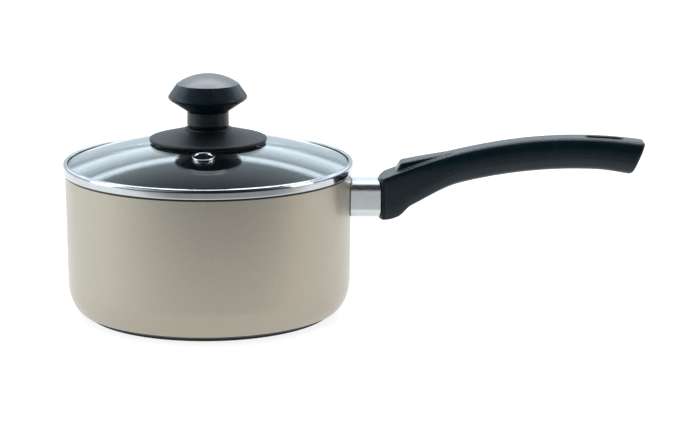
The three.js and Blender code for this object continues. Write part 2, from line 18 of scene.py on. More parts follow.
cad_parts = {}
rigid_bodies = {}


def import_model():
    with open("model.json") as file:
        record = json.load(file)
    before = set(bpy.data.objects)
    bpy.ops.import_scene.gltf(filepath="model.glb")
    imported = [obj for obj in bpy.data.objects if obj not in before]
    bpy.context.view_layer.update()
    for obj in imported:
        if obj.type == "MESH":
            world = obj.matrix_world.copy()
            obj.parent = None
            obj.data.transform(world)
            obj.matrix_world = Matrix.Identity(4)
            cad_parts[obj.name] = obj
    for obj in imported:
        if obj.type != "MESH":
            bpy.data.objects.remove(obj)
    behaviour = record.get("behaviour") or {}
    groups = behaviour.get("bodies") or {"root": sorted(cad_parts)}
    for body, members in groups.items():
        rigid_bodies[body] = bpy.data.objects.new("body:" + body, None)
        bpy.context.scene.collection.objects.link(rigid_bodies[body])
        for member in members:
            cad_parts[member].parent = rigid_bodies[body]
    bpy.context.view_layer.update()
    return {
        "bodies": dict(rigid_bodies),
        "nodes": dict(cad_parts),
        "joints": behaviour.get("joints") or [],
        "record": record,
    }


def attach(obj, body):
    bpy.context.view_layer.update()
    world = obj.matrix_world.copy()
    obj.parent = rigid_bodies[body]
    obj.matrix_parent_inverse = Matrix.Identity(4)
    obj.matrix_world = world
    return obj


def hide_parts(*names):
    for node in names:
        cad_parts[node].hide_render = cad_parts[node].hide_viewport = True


MM = 0.001
LOG = logging.getLogger("saucepan")

Corner = tuple[float, float, float]
Point = tuple[float, float]
Spot = tuple[float, float, float]

LONGEST_SETBACK = 0.44  # share of the shorter side that a fillet may take
GUARD = 1.12  # place of the extra point beside a fillet, in setbacks from the corner
MERGE_DISTANCE = 1e-7


# ------------------------------------------------------------------ numbers and outlines


def lerp(start: float, end: float, share: float) -> float:
    """Value a share of the way from start to end."""
    return start + (end - start) * share


def smoothstep(value: float, low: float, high: float) -> float:
    """Rise from 0 to 1 between low and high with no kink at either end."""
    share = min(1.0, max(0.0, (value - low) / (high - low)))
    return share * share * (3.0 - 2.0 * share)


def ellipse_arc(
    centre: Point,
    reach: float,
    rise: float,
    start: float,
    end: float,
    steps: int,
) -> list[Corner]:
    """Points of an elliptical arc as corners without a fillet.

    Args:
        centre: Middle of the ellipse.
        reach: Half-axis across.
        rise: Half-axis upwards.
        start: First angle in degrees.
        end: Last angle in degrees.
        steps: Number of stretches.

    Returns:
        The corners, ends included.
    """
    corners = []
    for i in range(steps + 1):
        angle = math.radians(lerp(start, end, i / steps))
        corners.append((centre[0] + reach * math.cos(angle), centre[1] + rise * math.sin(angle), 0.0))
    return corners


def rounded(corners: Sequence[Corner], closed: bool = True, steps: int = 6) -> list[Point]:
    """Outline with a tangent arc at each corner that has a fillet radius.

    Each fillet keeps two extra points just outside it, so that smooth shading stays flat on the
    long stretches between fillets.

    Args:
        corners: Points with the fillet radius wanted at each.
        closed: Whether the last corner joins the first.
        steps: Stretches in each arc.

    Returns:
        The points of the outline, the same number for the same list of filleted corners.
    """
    outline: list[Point] = []
    count = len(corners)
    for i, (x, y, radius) in enumerate(corners):
        at_end = not closed and i in (0, count - 1)
        if radius <= 0.0 or at_end:
            outline.append((x, y))
            continue
        here = Vector((x, y))
        before = Vector(corners[i - 1][:2]) - here
        after = Vector(corners[(i + 1) % count][:2]) - here
        half = before.angle(after) / 2.0
        room = LONGEST_SETBACK * min(before.length, after.length)
        setback = min(radius / math.tan(half), room)
        radius = setback * math.tan(half)
        before.normalize()
        after.normalize()
        centre = here + (before + after).normalized() * (radius / math.sin(half))
        start = here + before * setback - centre
        turn = start.angle_signed(here + after * setback - centre)
        outline.append(tuple(here + before * setback * GUARD))
        for step in range(steps + 1):
            spoke = start.copy()
            spoke.rotate(Matrix.Rotation(-turn * step / steps, 2))
            outline.append(tuple(centre + spoke))
        outline.append(tuple(here + after * setback * GUARD))
    return outline


# ------------------------------------------------------------------ meshes


def make_object(
    name: str,
    vertices: Iterable,
    faces: Iterable,
    slots: Sequence[int] = (),
) -> bpy.types.Object:
    """Smooth-shaded object from points in millimetres.

    Args:
        name: Name of the object and its mesh.
        vertices: Points in millimetres.
        faces: Vertex numbers of each face.
        slots: Finish number of each face, or nothing where there is only one.

    Returns:
        The object, linked to the scene.
    """
    mesh = bpy.data.meshes.new(name)
    mesh.from_pydata([tuple(c * MM for c in v) for v in vertices], [], list(faces))
    for polygon, slot in zip(mesh.polygons, slots):
        polygon.material_index = slot
    tidy(mesh)
    return placed(name, mesh)


def placed(name: str, mesh: bpy.types.Mesh) -> bpy.types.Object:
    """Object of a mesh, linked to the scene.

    Args:
        name: Name of the object.
        mesh: Its mesh, which may still be empty.

    Returns:
        The object.
    """
    thing = bpy.data.objects.new(name, mesh)
    bpy.context.scene.collection.objects.link(thing)
    return thing


def tidy(mesh: bpy.types.Mesh) -> None:
    """Merge doubles, turn all faces outwards and shade them smooth.

    Args:
        mesh: Mesh to put in order.
    """
    work = bmesh.new()
    work.from_mesh(mesh)
    bmesh.ops.remove_doubles(work, verts=work.verts, dist=MERGE_DISTANCE)
    bmesh.ops.recalc_face_normals(work, faces=work.faces)
    for face in work.faces:
        face.smooth = True
    work.to_mesh(mesh)
    work.free()


def turned(
    name: str,
    profile: Sequence[Point],
    segments: int = 192,
    slot_of: Callable[[float, float], int] | None = None,
) -> bpy.types.Object:
    """Closed solid of revolution about +Z.

    Args:
        name: Name of the piece.
        profile: Points of radius and height that close on themselves or start and end on the axis.
        segments: Steps round the axis.
        slot_of: Finish number for a stretch, from the radius and height of its middle.

    Returns:
        The piece.
    """
    vertices, faces, slots = [], [], []
    for radius, height in profile:
        for step in range(segments):
            angle = math.tau * step / segments
            vertices.append((radius * math.cos(angle), radius * math.sin(angle), height))
    open_ends = profile[0][0] == 0.0 and profile[-1][0] == 0.0
    stretches = len(profile) - 1 if open_ends else len(profile)
    for i in range(stretches):
        j = (i + 1) % len(profile)
        middle = ((profile[i][0] + profile[j][0]) / 2, (profile[i][1] + profile[j][1]) / 2)
        for step in range(segments):
            after = (step + 1) % segments
            corner = [i * segments + step, i * segments + after, j * segments + after, j * segments + step]
            if profile[i][0] == 0.0:
                corner = [i * segments, corner[2], corner[3]]
            elif profile[j][0] == 0.0:
                corner = [corner[0], corner[1], j * segments]
            faces.append(corner)
            slots.append(slot_of(*middle) if slot_of else 0)
    return make_object(name, vertices, faces, slots)


def lofted(name: str, rings: Sequence[Sequence[Spot]]) -> bpy.types.Object:
    """Closed skin through equal rings of points, with a face over each end.

    Args:
        name: Name of the piece.
        rings: Rings in order, each with the same number of points.

    Returns:
        The piece.
    """
    count = len(rings[0])
    vertices = [point for ring in rings for point in ring]
    faces = [list(range(count)), [len(vertices) - count + i for i in range(count)]]
    for ring in range(len(rings) - 1):
        for i in range(count):
            after = (i + 1) % count
            low, high = ring * count, (ring + 1) * count
            faces.append([low + i, low + after, high + after, high + i])
    return make_object(name, vertices, faces)


def settled(thing: bpy.types.Object) -> bpy.types.Object:
    """Work an object's modifiers into a plain mesh.

    Args:
        thing: Object with live modifiers.

    Returns:
        The same object.
    """
    depsgraph = bpy.context.evaluated_depsgraph_get()
    mesh = bpy.data.meshes.new_from_object(thing.evaluated_get(depsgraph), depsgraph=depsgraph)
    thing.modifiers.clear()
    thing.data = mesh
    mesh.name = thing.name
    return thing


def carved(
    thing: bpy.types.Object,
    tools: Sequence[bpy.types.Object],
    join: bool = False,
) -> bpy.types.Object:
    """Cut tools out of a piece, or join them to it, and throw the tools away.

    Args:
        thing: The piece.
        tools: Closed objects.
        join: Whether to add the tools instead of cutting them out.

    Returns:
        The piece.
    """
    for tool in tools:
        modifier = thing.modifiers.new("carve", "BOOLEAN")
        modifier.object = tool
        modifier.solver = "EXACT"
        modifier.operation = "UNION" if join else "DIFFERENCE"
        settled(thing)
        bpy.data.objects.remove(tool)
    for polygon in thing.data.polygons:
        polygon.use_smooth = True
    return thing


def sharpened(thing: bpy.types.Object, degrees: float = 40.0) -> bpy.types.Object:
    """Keep the shading sharp at edges that bend by more than an angle."""
    thing.data.set_sharp_from_angle(angle=math.radians(degrees))
    return thing


def joined(main: bpy.types.Object, other: bpy.types.Object) -> bpy.types.Object:
    """Add another object's mesh to a piece as one mesh.

    Args:
        main: The piece.
        other: Object to add, which is removed.

    Returns:
        The piece.
    """
    work = bmesh.new()
    work.from_mesh(main.data)
    work.from_mesh(other.data)
    work.to_mesh(main.data)
    work.free()
    bpy.data.objects.remove(other)
    return main


def rounded_box(width: float, height: float, corner: float, steps: int = 8) -> list[Point]:
    """Rounded rectangle round the origin, anticlockwise."""
    x, y = width / 2, height / 2
    return rounded([(x, -y, corner), (x, y, corner), (-x, y, corner), (-x, -y, corner)], steps=steps)


# ------------------------------------------------------------------ geometry nodes


class GeometryTree:
    """A geometry node tree with named inputs, ending in real geometry with one finish."""

    def __init__(self, name: str) -> None:
        """Start an empty tree with a Finish input and a geometry output.

        Args:
            name: Name of the tree.
        """
        self.tree = bpy.data.node_groups.new(name, "GeometryNodeTree")
        self.tree.interface.new_socket("Geometry", in_out="INPUT", socket_type="NodeSocketGeometry")
        self.tree.interface.new_socket("Finish", in_out="INPUT", socket_type="NodeSocketMaterial")
        self.tree.interface.new_socket("Geometry", in_out="OUTPUT", socket_type="NodeSocketGeometry")
        self.inputs = self.tree.nodes.new("NodeGroupInput")
        self.outputs = self.tree.nodes.new("NodeGroupOutput")

    def size(self, name: str, default: float) -> bpy.types.NodeSocket:
        """Add a named size input.

        Args:
            name: Name of the input.
            default: Its value where none is given, in metres or turns.

        Returns:
            The input's socket inside the tree.
        """
        socket = self.tree.interface.new_socket(name, in_out="INPUT", socket_type="NodeSocketFloat")
        socket.default_value = default
        return self.inputs.outputs[name]

    def add(self, kind: str, settings: dict | None = None, links: dict | None = None) -> bpy.types.Node:
        """Add a node with its settings and links."""
        return add_node(self.tree, kind, settings, links)

    def close(self, geometry: bpy.types.NodeSocket) -> None:
        """End the tree in Realize Instances and Set Material.

        Args:
            geometry: Socket with the finished geometry.
        """
        real = self.add("GeometryNodeRealizeInstances", links={"Geometry": geometry})
        dressed = self.add(
            "GeometryNodeSetMaterial",
            links={"Geometry": real.outputs[0], "Material": self.inputs.outputs["Finish"]},
        )
        self.tree.links.new(dressed.outputs[0], self.outputs.inputs[0])

    def grow(
        self,
        thing: bpy.types.Object,
        finish: bpy.types.Material,
        sizes: dict[str, float],
    ) -> bpy.types.Object:
        """Run the tree on an object and keep the result as a plain mesh.

        Args:
            thing: Object whose geometry goes in.
            finish: Material of the result.
            sizes: Values of the named inputs.

        Returns:
            The object with the finished mesh.
        """
        modifier = thing.modifiers.new(self.tree.name, "NODES")
        modifier.node_group = self.tree
        for item in self.tree.interface.items_tree:
            if item.in_out == "INPUT" and item.name in sizes:
                modifier[item.identifier] = sizes[item.name]
            if item.in_out == "INPUT" and item.name == "Finish":
                modifier[item.identifier] = finish
        settled(thing)
        tidy(thing.data)
        return thing


def add_node(
    tree: bpy.types.NodeTree,
    kind: str,
    settings: dict | None = None,
    links: dict | None = None,
) -> bpy.types.Node:
    """Add a node with its settings and links.

    Args:
        tree: Tree to add to.
        kind: Node type.
        settings: Values by attribute name, or by input name or number.
        links: Source sockets by input name or number.

    Returns:
        The node.
    """
    node = tree.nodes.new(kind)
    for key, value in (settings or {}).items():
        if isinstance(key, str) and hasattr(node, key):
            setattr(node, key, value)
        else:
            node.inputs[key].default_value = value
    for key, socket in (links or {}).items():
        tree.links.new(socket, node.inputs[key])
    return node


def helix_tree() -> GeometryTree:
    """Bar of rectangular section wound round +Z: a spring washer or a screw thread.

    Returns:
        The tree.
    """
    tree = GeometryTree("wound_bar")
    radius = tree.size("Radius", 0.0035)
    rise = tree.size("Rise", 0.001)
    turns = tree.size("Turns", 1.0)
    across = tree.size("Section Across", 0.0015)
    high = tree.size("Section High", 0.001)
    start = tree.size("Start Height", 0.0)
    path = tree.add(
        "GeometryNodeCurveSpiral",
        {"Resolution": 40},
        {"Rotations": turns, "Start Radius": radius, "End Radius": radius, "Height": rise},
    )
    level = tree.add("GeometryNodeSetCurveNormal", {"mode": "Z_UP"}, {"Curve": path.outputs[0]})
    section = tree.add("GeometryNodeCurvePrimitiveQuadrilateral", {}, {"Width": across, "Height": high})
    bar = tree.add(
        "GeometryNodeCurveToMesh",
        {"Fill Caps": True},
        {"Curve": level.outputs[0], "Profile Curve": section.outputs[0]},
    )
    offset = tree.add("ShaderNodeCombineXYZ", {}, {"Z": start})
    raised = tree.add(
        "GeometryNodeTransform",
        {},
        {"Geometry": bar.outputs[0], "Translation": offset.outputs[0]},
    )
    tree.close(raised.outputs[0])
    return tree


def bead_tree() -> GeometryTree:
    """Fine round bead along the edges of a mesh: the parting line of a moulding.

    Returns:
        The tree.
    """
    tree = GeometryTree("parting_bead")
    radius = tree.size("Bead Radius", 0.0002)
    path = tree.add("GeometryNodeMeshToCurve", {}, {"Mesh": tree.inputs.outputs["Geometry"]})
    section = tree.add("GeometryNodeCurvePrimitiveCircle", {"Resolution": 8}, {"Radius": radius})
    bead = tree.add(
        "GeometryNodeCurveToMesh",
        {"Fill Caps": True},
        {"Curve": path.outputs[0], "Profile Curve": section.outputs[0]},
    )
    tree.close(bead.outputs[0])
    return tree


# ------------------------------------------------------------------ finishes


def linear(colour: str) -> tuple[float, float, float, float]:
    """Turn an sRGB hex colour to linear.

    Args:
        colour: Six hex digits, such as "b6ada0".

    Returns:
        Linear red, green, blue and an alpha of 1.
    """
    channels = []
    for i in (0, 2, 4):
        value = int(colour[i : i + 2], 16) / 255.0
        channels.append(value / 12.92 if value <= 0.04045 else ((value + 0.055) / 1.055) ** 2.4)
    return (*channels, 1.0)


def per_mm(size: float) -> float:
    """Texture scale on Object coordinates in metres for features of a size in millimetres."""
    return 1000.0 / size


class FinishTree:
    """Shader tree of one material, with Object coordinates and a Principled shader ready."""

    def __init__(self, name: str, constants: dict) -> None:
        """Start the material and set the constants on the shader's own sockets.

        Args:
            name: Common name of the real finish.
            constants: Values of the shader's inputs by name.
        """
        self.material = bpy.data.materials.new(name)
        self.material.use_nodes = True
        self.tree = self.material.node_tree
        self.tree.nodes.clear()
        self.shader = self.add("ShaderNodeBsdfPrincipled", constants)
        self.output = self.add("ShaderNodeOutputMaterial", links={"Surface": self.shader.outputs[0]})
        self.place = self.add("ShaderNodeTexCoord").outputs["Object"]

    def add(self, kind: str, settings: dict | None = None, links: dict | None = None) -> bpy.types.Node:
        """Add a node with its settings and links."""
        return add_node(self.tree, kind, settings, links)

    def noise(self, size: float, detail: float = 3.0, stretch: Spot | None = None) -> bpy.types.NodeSocket:
        """Noise on Object coordinates.

        Args:
            size: Size of its features in millimetres.
            detail: Finer layers on top of them.
            stretch: Scale along each axis, where the features are drawn out.

        Returns:
            Socket with the noise, from 0 to 1.
        """
        vector = self.place
        if stretch:
            vector = self.add("ShaderNodeMapping", {"Scale": stretch}, {"Vector": vector}).outputs[0]
        settings = {"Scale": per_mm(size), "Detail": detail, "Roughness": 0.55}
        return self.add("ShaderNodeTexNoise", settings, {"Vector": vector}).outputs[0]

    def tint(
        self,
        factor: bpy.types.NodeSocket,
        first: str,
        second: str,
        low: float = 0.3,
        high: float = 0.7,
    ) -> None:
        """Let the base colour go from one colour to another with a factor.

        Args:
            factor: Socket from 0 to 1.
            first: Hex colour below low.
            second: Hex colour above high.
            low: Factor at which the change starts.
            high: Factor at which it ends.
        """
        ramp = self.add("ShaderNodeValToRGB", links={"Fac": factor})
        ramp.color_ramp.elements[0].position = low
        ramp.color_ramp.elements[0].color = linear(first)
        ramp.color_ramp.elements[1].position = high
        ramp.color_ramp.elements[1].color = linear(second)
        self.tree.links.new(ramp.outputs[0], self.shader.inputs["Base Color"])

    def vary(self, socket: str, factor: bpy.types.NodeSocket, low: float, high: float) -> None:
        """Let a shader input run from low to high with a factor."""
        span = self.add("ShaderNodeMapRange", {"To Min": low, "To Max": high}, {"Value": factor})
        self.tree.links.new(span.outputs[0], self.shader.inputs[socket])

    def bump(self, height: bpy.types.NodeSocket, depth: float, strength: float = 1.0) -> None:
        """Add relief on top of any that is already there.

        Args:
            height: Socket with the relief's height, from 0 to 1.
            depth: Its depth in millimetres.
            strength: Share of it that shows.
        """
        links = {"Height": height}
        normal = self.shader.inputs["Normal"]
        if normal.is_linked:
            links["Normal"] = normal.links[0].from_socket
        bump = self.add("ShaderNodeBump", {"Distance": depth * MM, "Strength": strength}, links)
        self.tree.links.new(bump.outputs[0], normal)

    def distance_from_axis(self) -> bpy.types.NodeSocket:
        """Distance from the pan's axis, in metres.

        Returns:
            Socket with the distance.
        """
        level = {"operation": "MULTIPLY", 1: (1.0, 1.0, 0.0)}
        flat = self.add("ShaderNodeVectorMath", level, {0: self.place}).outputs[0]
        return self.add("ShaderNodeVectorMath", {"operation": "LENGTH"}, {0: flat}).outputs["Value"]


@dataclass(frozen=True)
class PaintedContactShade:
    """Near-black colour round the base disc and the bowl's foot: painted contact shadow, the thin black
    line that the pan stands on.
    """

    base: str = "0a0a0a"
    shade_mottle: str = "151514"

    def material(self) -> bpy.types.Material:
        """Build the material.

        Returns:
            The material.
        """
        tree = FinishTree("painted_contact_shade_edge", {"Roughness": 0.6, "IOR": 1.45})
        # Near-black with a faint random mottle: painted contact shadow.
        tree.tint(tree.noise(3.0), self.base, self.shade_mottle)
        tree.bump(tree.noise(0.9), 0.01)
        return tree.material


class Metal(Enum):
    """How a steel surface was finished."""

    POLISHED = "polished"
    SPUN = "spun"
    ROLLED = "rolled"


@dataclass(frozen=True)
class MetallicEnamel:
    """Champagne baked enamel with aluminium flake, sprayed outside the pan.

    The flake lies flat in the film, so the wall mirrors broad light softly and sparkles finely.
    """

    base: str = "a9a293"
    flake: str = "b5ae9f"
    flake_size: float = 0.45

    def material(self) -> bpy.types.Material:
        """Build the material.

        Returns:
            The material.
        """
        tree = FinishTree(
            "champagne_metallic_enamel",
            {"Metallic": 0.75, "Roughness": 0.42, "Coat Weight": 0.25, "Coat Roughness": 0.12},
        )
        # Real flake is near 0.03 mm; it is drawn coarser so that it still shows.
        sparkle = tree.noise(self.flake_size, detail=2.0)
        tree.tint(sparkle, self.base, self.flake, 0.35, 0.65)
        tree.vary("Roughness", tree.noise(22.0), 0.38, 0.46)
        # Spray passes and the spun blank leave faint level streaks in the gloss.
        tree.bump(tree.noise(1.6, stretch=(0.03, 0.03, 1.0)), 0.006)
        tree.bump(sparkle, 0.004)
        tree.bump(tree.noise(3.5), 0.01)
        return tree.material


@dataclass(frozen=True)
class NonStickCoat:
    """Dark grey PTFE coat sprayed inside the pan, with fine pale speckle."""

    base: str = "26292a"
    speckle: str = "585c5c"
    speckle_size: float = 0.8

    def material(self) -> bpy.types.Material:
        """Build the material.

        Returns:
            The material.
        """
        tree = FinishTree("ptfe_non_stick_coat", {"Metallic": 0.0, "Roughness": 0.4, "IOR": 1.38})
        grain = tree.noise(self.speckle_size, detail=1.0)
        tree.tint(grain, self.base, self.speckle, 0.62, 0.72)
        tree.vary("Roughness", tree.noise(6.0), 0.34, 0.46)
        tree.bump(tree.noise(0.6), 0.02)
        return tree.material


@dataclass(frozen=True)
class Steel:
    """Stainless steel or bare metal, with the lines that its last working left."""

    name: str
    working: Metal
    colour: str = "c9c9c6"
    shade: str = "bdbdbb"
    roughness: float = 0.2

    def material(self) -> bpy.types.Material:
        """Build the material.

        Returns:
            The material.
        """
        tree = FinishTree(self.name, {"Metallic": 1.0, "Roughness": self.roughness})
        if self.working is Metal.SPUN:
            # Spinning leaves rings about 0.35 mm apart round the axis.
            radial = tree.add("ShaderNodeCombineXYZ", links={"X": tree.distance_from_axis()})
            settings = {"Scale": per_mm(0.35), "Detail": 2.0}
            lines = tree.add("ShaderNodeTexNoise", settings, {"Vector": radial.outputs[0]}).outputs[0]
        elif self.working is Metal.ROLLED:
            lines = tree.noise(0.5, stretch=(0.06, 1.0, 1.0))
        else:
            lines = tree.noise(9.0)
        tree.tint(lines, self.shade, self.colour)
        tree.vary("Roughness", lines, self.roughness * 0.8, self.roughness * 1.25)
        if self.working is Metal.SPUN:
            tree.bump(lines, 0.01)
        return tree.material


@dataclass(frozen=True)
class Phenolic:
    """Compression-moulded phenolic, near black, with the mould's soft satin."""

    name: str
    roughness: float = 0.27
    base: str = "071a20"
    bloom: str = "0c2129"
    index: float = 1.38

    def material(self) -> bpy.types.Material:
        """Build the material.

        Returns:
            The material.
        """
        tree = FinishTree(self.name, {"Roughness": self.roughness, "IOR": self.index})
        tree.tint(tree.noise(7.0, detail=4.0), self.base, self.bloom)
        tree.vary("Roughness", tree.noise(4.0), self.roughness * 0.9, self.roughness * 1.1)
        tree.bump(tree.noise(2.6, detail=2.0), 0.002)
        return tree.material


@dataclass(frozen=True)
class TemperedGlass:
    """Tempered soda-lime glass, clear with a faint aqua body."""

    tint: str = "e6f3f4"
    haze: str = "eef6f6"

    def material(self) -> bpy.types.Material:
        """Build the material, clear to the light of lamps.

        Returns:
            The material.
        """
        tree = FinishTree(
            "tempered_soda_lime_glass",
            {"Roughness": 0.0, "IOR": 1.52, "Transmission Weight": 1.0},
        )
        tree.tint(tree.noise(60.0), self.tint, self.haze)
        through = tree.add("ShaderNodeBsdfTransparent", {"Color": linear("e9f3f4")})
        light = tree.add("ShaderNodeLightPath")
        mixed = tree.add(
            "ShaderNodeMixShader",
            links={0: light.outputs["Is Shadow Ray"], 1: tree.shader.outputs[0], 2: through.outputs[0]},
        )
        tree.tree.links.new(mixed.outputs[0], tree.output.inputs["Surface"])
        return tree.material


@dataclass(frozen=True)
class Silicone:
    """Moulded translucent silicone of a gasket."""

    base: str = "c9c7bf"
    shade: str = "b9b7b0"

    def material(self) -> bpy.types.Material:
        """Build the material.

        Returns:
            The material.
        """
        tree = FinishTree("moulded_silicone", {"Roughness": 0.55, "IOR": 1.41, "Subsurface Weight": 0.15})
        tree.tint(tree.noise(2.5), self.base, self.shade)
        tree.bump(tree.noise(0.8), 0.01)
        return tree.material


class Finishes:
    """All the finishes of the saucepan, made once."""

    def __init__(self) -> None:
        """Build every material."""
        self.enamel = MetallicEnamel().material()
        self.non_stick = NonStickCoat().material()
        # Painted contact shadow: near-black colour on the base disc's edge and the bowl's foot.
        self.painted_shade_edge = PaintedContactShade().material()
        # Bare base, spun and ground: fine rings that catch the light in a fan.
        self.base_steel = Steel("spun_stainless_base", Metal.SPUN, "a7a7a4", "8e8e8b", 0.3).material()
        # Buffed strip: clear mirror lines round the lid.
        strip = Steel("polished_stainless_strip", Metal.POLISHED, "c4c8ca", "bcc0c2", 0.08)
        self.polished = strip.material()
        # Drawn sleeve: bright, with its mirror blurred along the drawing.
        self.drawn = Steel("drawn_stainless_sleeve", Metal.ROLLED, "d6d9da", "cccfd0", 0.27).material()
        # Plated fixings: cool grey with a dull gloss.
        self.zinc = Steel("zinc_plated_steel", Metal.ROLLED, "b8babb", "a3a5a7", 0.32).material()
        # Turned insert: warm yellow rings.
        self.brass = Steel("turned_brass", Metal.SPUN, "c9a964", "b8964f", 0.28).material()
        self.phenolic = Phenolic("moulded_phenolic").material()
        # Grained mould: a matt charcoal skirt under the glossier knob.
        self.satin_phenolic = Phenolic("satin_moulded_phenolic", 0.5, "080f15", "10181e").material()
        # Knob's crown: a lighter, more reflective copy of the phenolic, a painted sheen for the overhead
        # light, above a crisp dark edge.
        self.crown = Phenolic("phenolic_crown_painted_sheen", 0.46, "1a252c", "232e35", 2.2).material()
        self.glass = TemperedGlass().material()
        self.silicone = Silicone().material()


class Body(Enum):
    """The two loose parts of the saucepan."""

    PAN = "pan"
    LID = "lid"


def stand_in(
    thing: bpy.types.Object,
    body: Body,
    finishes: Sequence[bpy.types.Material],
    nodes: Sequence[str] = (),
) -> bpy.types.Object:
    """Dress a piece, let it ride on its body and hide the CAD nodes it stands for.

    Args:
        thing: The piece.
        body: Body it rides on.
        finishes: Materials in the order of the faces' finish numbers.
        nodes: CAD nodes it replaces.

    Returns:
        The piece.
    """
    if not thing.data.materials:
        for finish in finishes:
            thing.data.materials.append(finish)
    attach(thing, body.value)
    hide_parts(*nodes)
    LOG.info("%s: %d faces", thing.name, len(thing.data.polygons))
    return thing


def dress(node: bpy.types.Object, finish: bpy.types.Material) -> None:
    """Give a carried-over CAD node its finish."""
    node.data.materials.clear()
    node.data.materials.append(finish)


# ------------------------------------------------------------------ pan


@dataclass
class Pan:
    """Pressed aluminium bowl with its bonded steel base."""

    rim_radius: float = 91.2
    height: float = 91.6
    wall: float = 2.0
    taper: float = 0.8
    floor_z: float = 1.9
    floor: float = 2.8
    corner_reach: float = 11.2
    corner_height: float = 20.0
    rim_fillet: float = 0.8
    # Depth of the non-stick coat wrapped down the outside of the rim; its dark band is partly a real coat
    # wrap and partly painted shade under the lid's overhang.
    rim_coat_and_shade: float = 1.1
    # Height up the bowl's foot that takes the painted contact shadow.
    shade_foot_height: float = 1.8
    base_radius: float = 78.8
    base_thickness: float = 1.6
    base_recess: float = 8.0
    base_land: float = 4.0
    base_groove: float = 0.25
    base_groove_pitch: float = 4.0
    base_groove_flank: float = 0.4
    # How far in from the disc's rim, and down from its top, the painted contact shadow reaches.
    base_shade_band: Point = (0.6, 0.1)
    segments: int = 256

    def wall_radius(self, z: float) -> float:
        """Outside radius of the wall at a height above the corner."""
        corner_top = self.floor_z + self.corner_height
        return self.rim_radius - self.taper * (self.height - z) / (self.height - corner_top)

    def bowl_profile(self) -> list[Point]:
        """Outline of the bowl from the axis under the floor round to the axis inside.

        Returns:
            Points of radius and height.
        """
        flat = self.rim_radius - self.taper - self.corner_reach
        corner_top = self.floor_z + self.corner_height
        inner_floor = self.floor_z + self.floor
        centre = (flat, corner_top)
        bore = self.rim_radius - self.wall
        return rounded(
            [
                (0.0, self.floor_z, 0.0),
                *ellipse_arc(centre, self.corner_reach, self.corner_height, -90, 0, 28),
                (self.wall_radius(self.height - self.rim_coat_and_shade), self.height - self.rim_coat_and_shade, 0.0),
                (self.rim_radius, self.height, self.rim_fillet),
                (bore, self.height, self.rim_fillet),
                *ellipse_arc(centre, self.corner_reach - self.wall, corner_top - inner_floor, 0, -90, 22),
                (0.0, inner_floor, 0.0),
            ],
            closed=False,
        )

    def bowl_slot(self, radius: float, z: float) -> int:
        """Finish of a stretch: enamel outside, non-stick inside and over the rim, whose dark band down the
        outside is partly painted shade, and painted contact shadow at the foot.

        Args:
            radius: Radius of the stretch's middle.
            z: Its height.

        Returns:
            0 for enamel, 1 for the non-stick coat and 2 for the painted contact shadow.
        """
        # Coat over the rim and a dark band down its outside: partly painted shade under the lid's rim.
        if z > self.height - self.rim_coat_and_shade:
            return 1
        # Painted contact shadow round the foot of the bowl.
        if z < self.floor_z + self.shade_foot_height:
            return 2
        flat = self.rim_radius - self.taper - self.corner_reach
        corner_top = self.floor_z + self.corner_height
        if z > corner_top:
            return 0 if radius > self.wall_radius(z) - self.wall / 2 else 1
        if radius < flat:
            return 0 if z < self.floor_z + self.floor / 2 else 1
        reach = self.corner_reach - self.wall / 2
        rise = self.corner_height - self.floor / 2
        outside = ((radius - flat) / reach) ** 2 + ((corner_top - z) / rise) ** 2 > 1.0
        return 0 if outside else 1

    def base_profile(self) -> list[Point]:
        """Outline of the base disc with shallow spun grooves underneath.

        Returns:
            Points of radius and height.
        """
        radius = self.base_recess
        corners: list[Corner] = [(0.0, self.base_groove, 0.0), (radius, self.base_groove, 0.0)]
        while radius + self.base_groove_pitch < self.base_radius - self.base_land:
            corners.append((radius + self.base_groove_flank, 0.0, 0.0))
            radius += self.base_groove_pitch
            corners.append((radius - 2 * self.base_groove_flank, 0.0, 0.0))
            corners.append((radius - self.base_groove_flank / 2, self.base_groove, 0.0))
        corners += [
            (radius + self.base_groove_flank, 0.0, 0.0),
            (self.base_radius, 0.0, 0.5),
            (self.base_radius, self.base_thickness, 0.2),
            (0.0, self.base_thickness, 0.0),
        ]
        return rounded(corners, closed=False, steps=4)

    def base_slot(self, radius: float, z: float) -> int:
        """Finish of a stretch of the base disc: turned steel below, painted contact shadow round the edge.
        """
        inward, down = self.base_shade_band
        return 1 if radius > self.base_radius - inward or z > self.base_thickness - down else 0

    def build(self, finishes: Finishes) -> None:
        """Build and dress the bowl and its base.

        Args:
            finishes: The saucepan's materials.
        """
        bowl = turned("pan_shell", self.bowl_profile(), self.segments, self.bowl_slot)
        bowl_finishes = [finishes.enamel, finishes.non_stick, finishes.painted_shade_edge]
        stand_in(bowl, Body.PAN, bowl_finishes, ["pan_body"])
        disc = sharpened(turned("base_disc", self.base_profile(), self.segments, self.base_slot))
        disc_finishes = [finishes.base_steel, finishes.painted_shade_edge]
        stand_in(disc, Body.PAN, disc_finishes, ["base_plate"])


# ------------------------------------------------------------------ handle


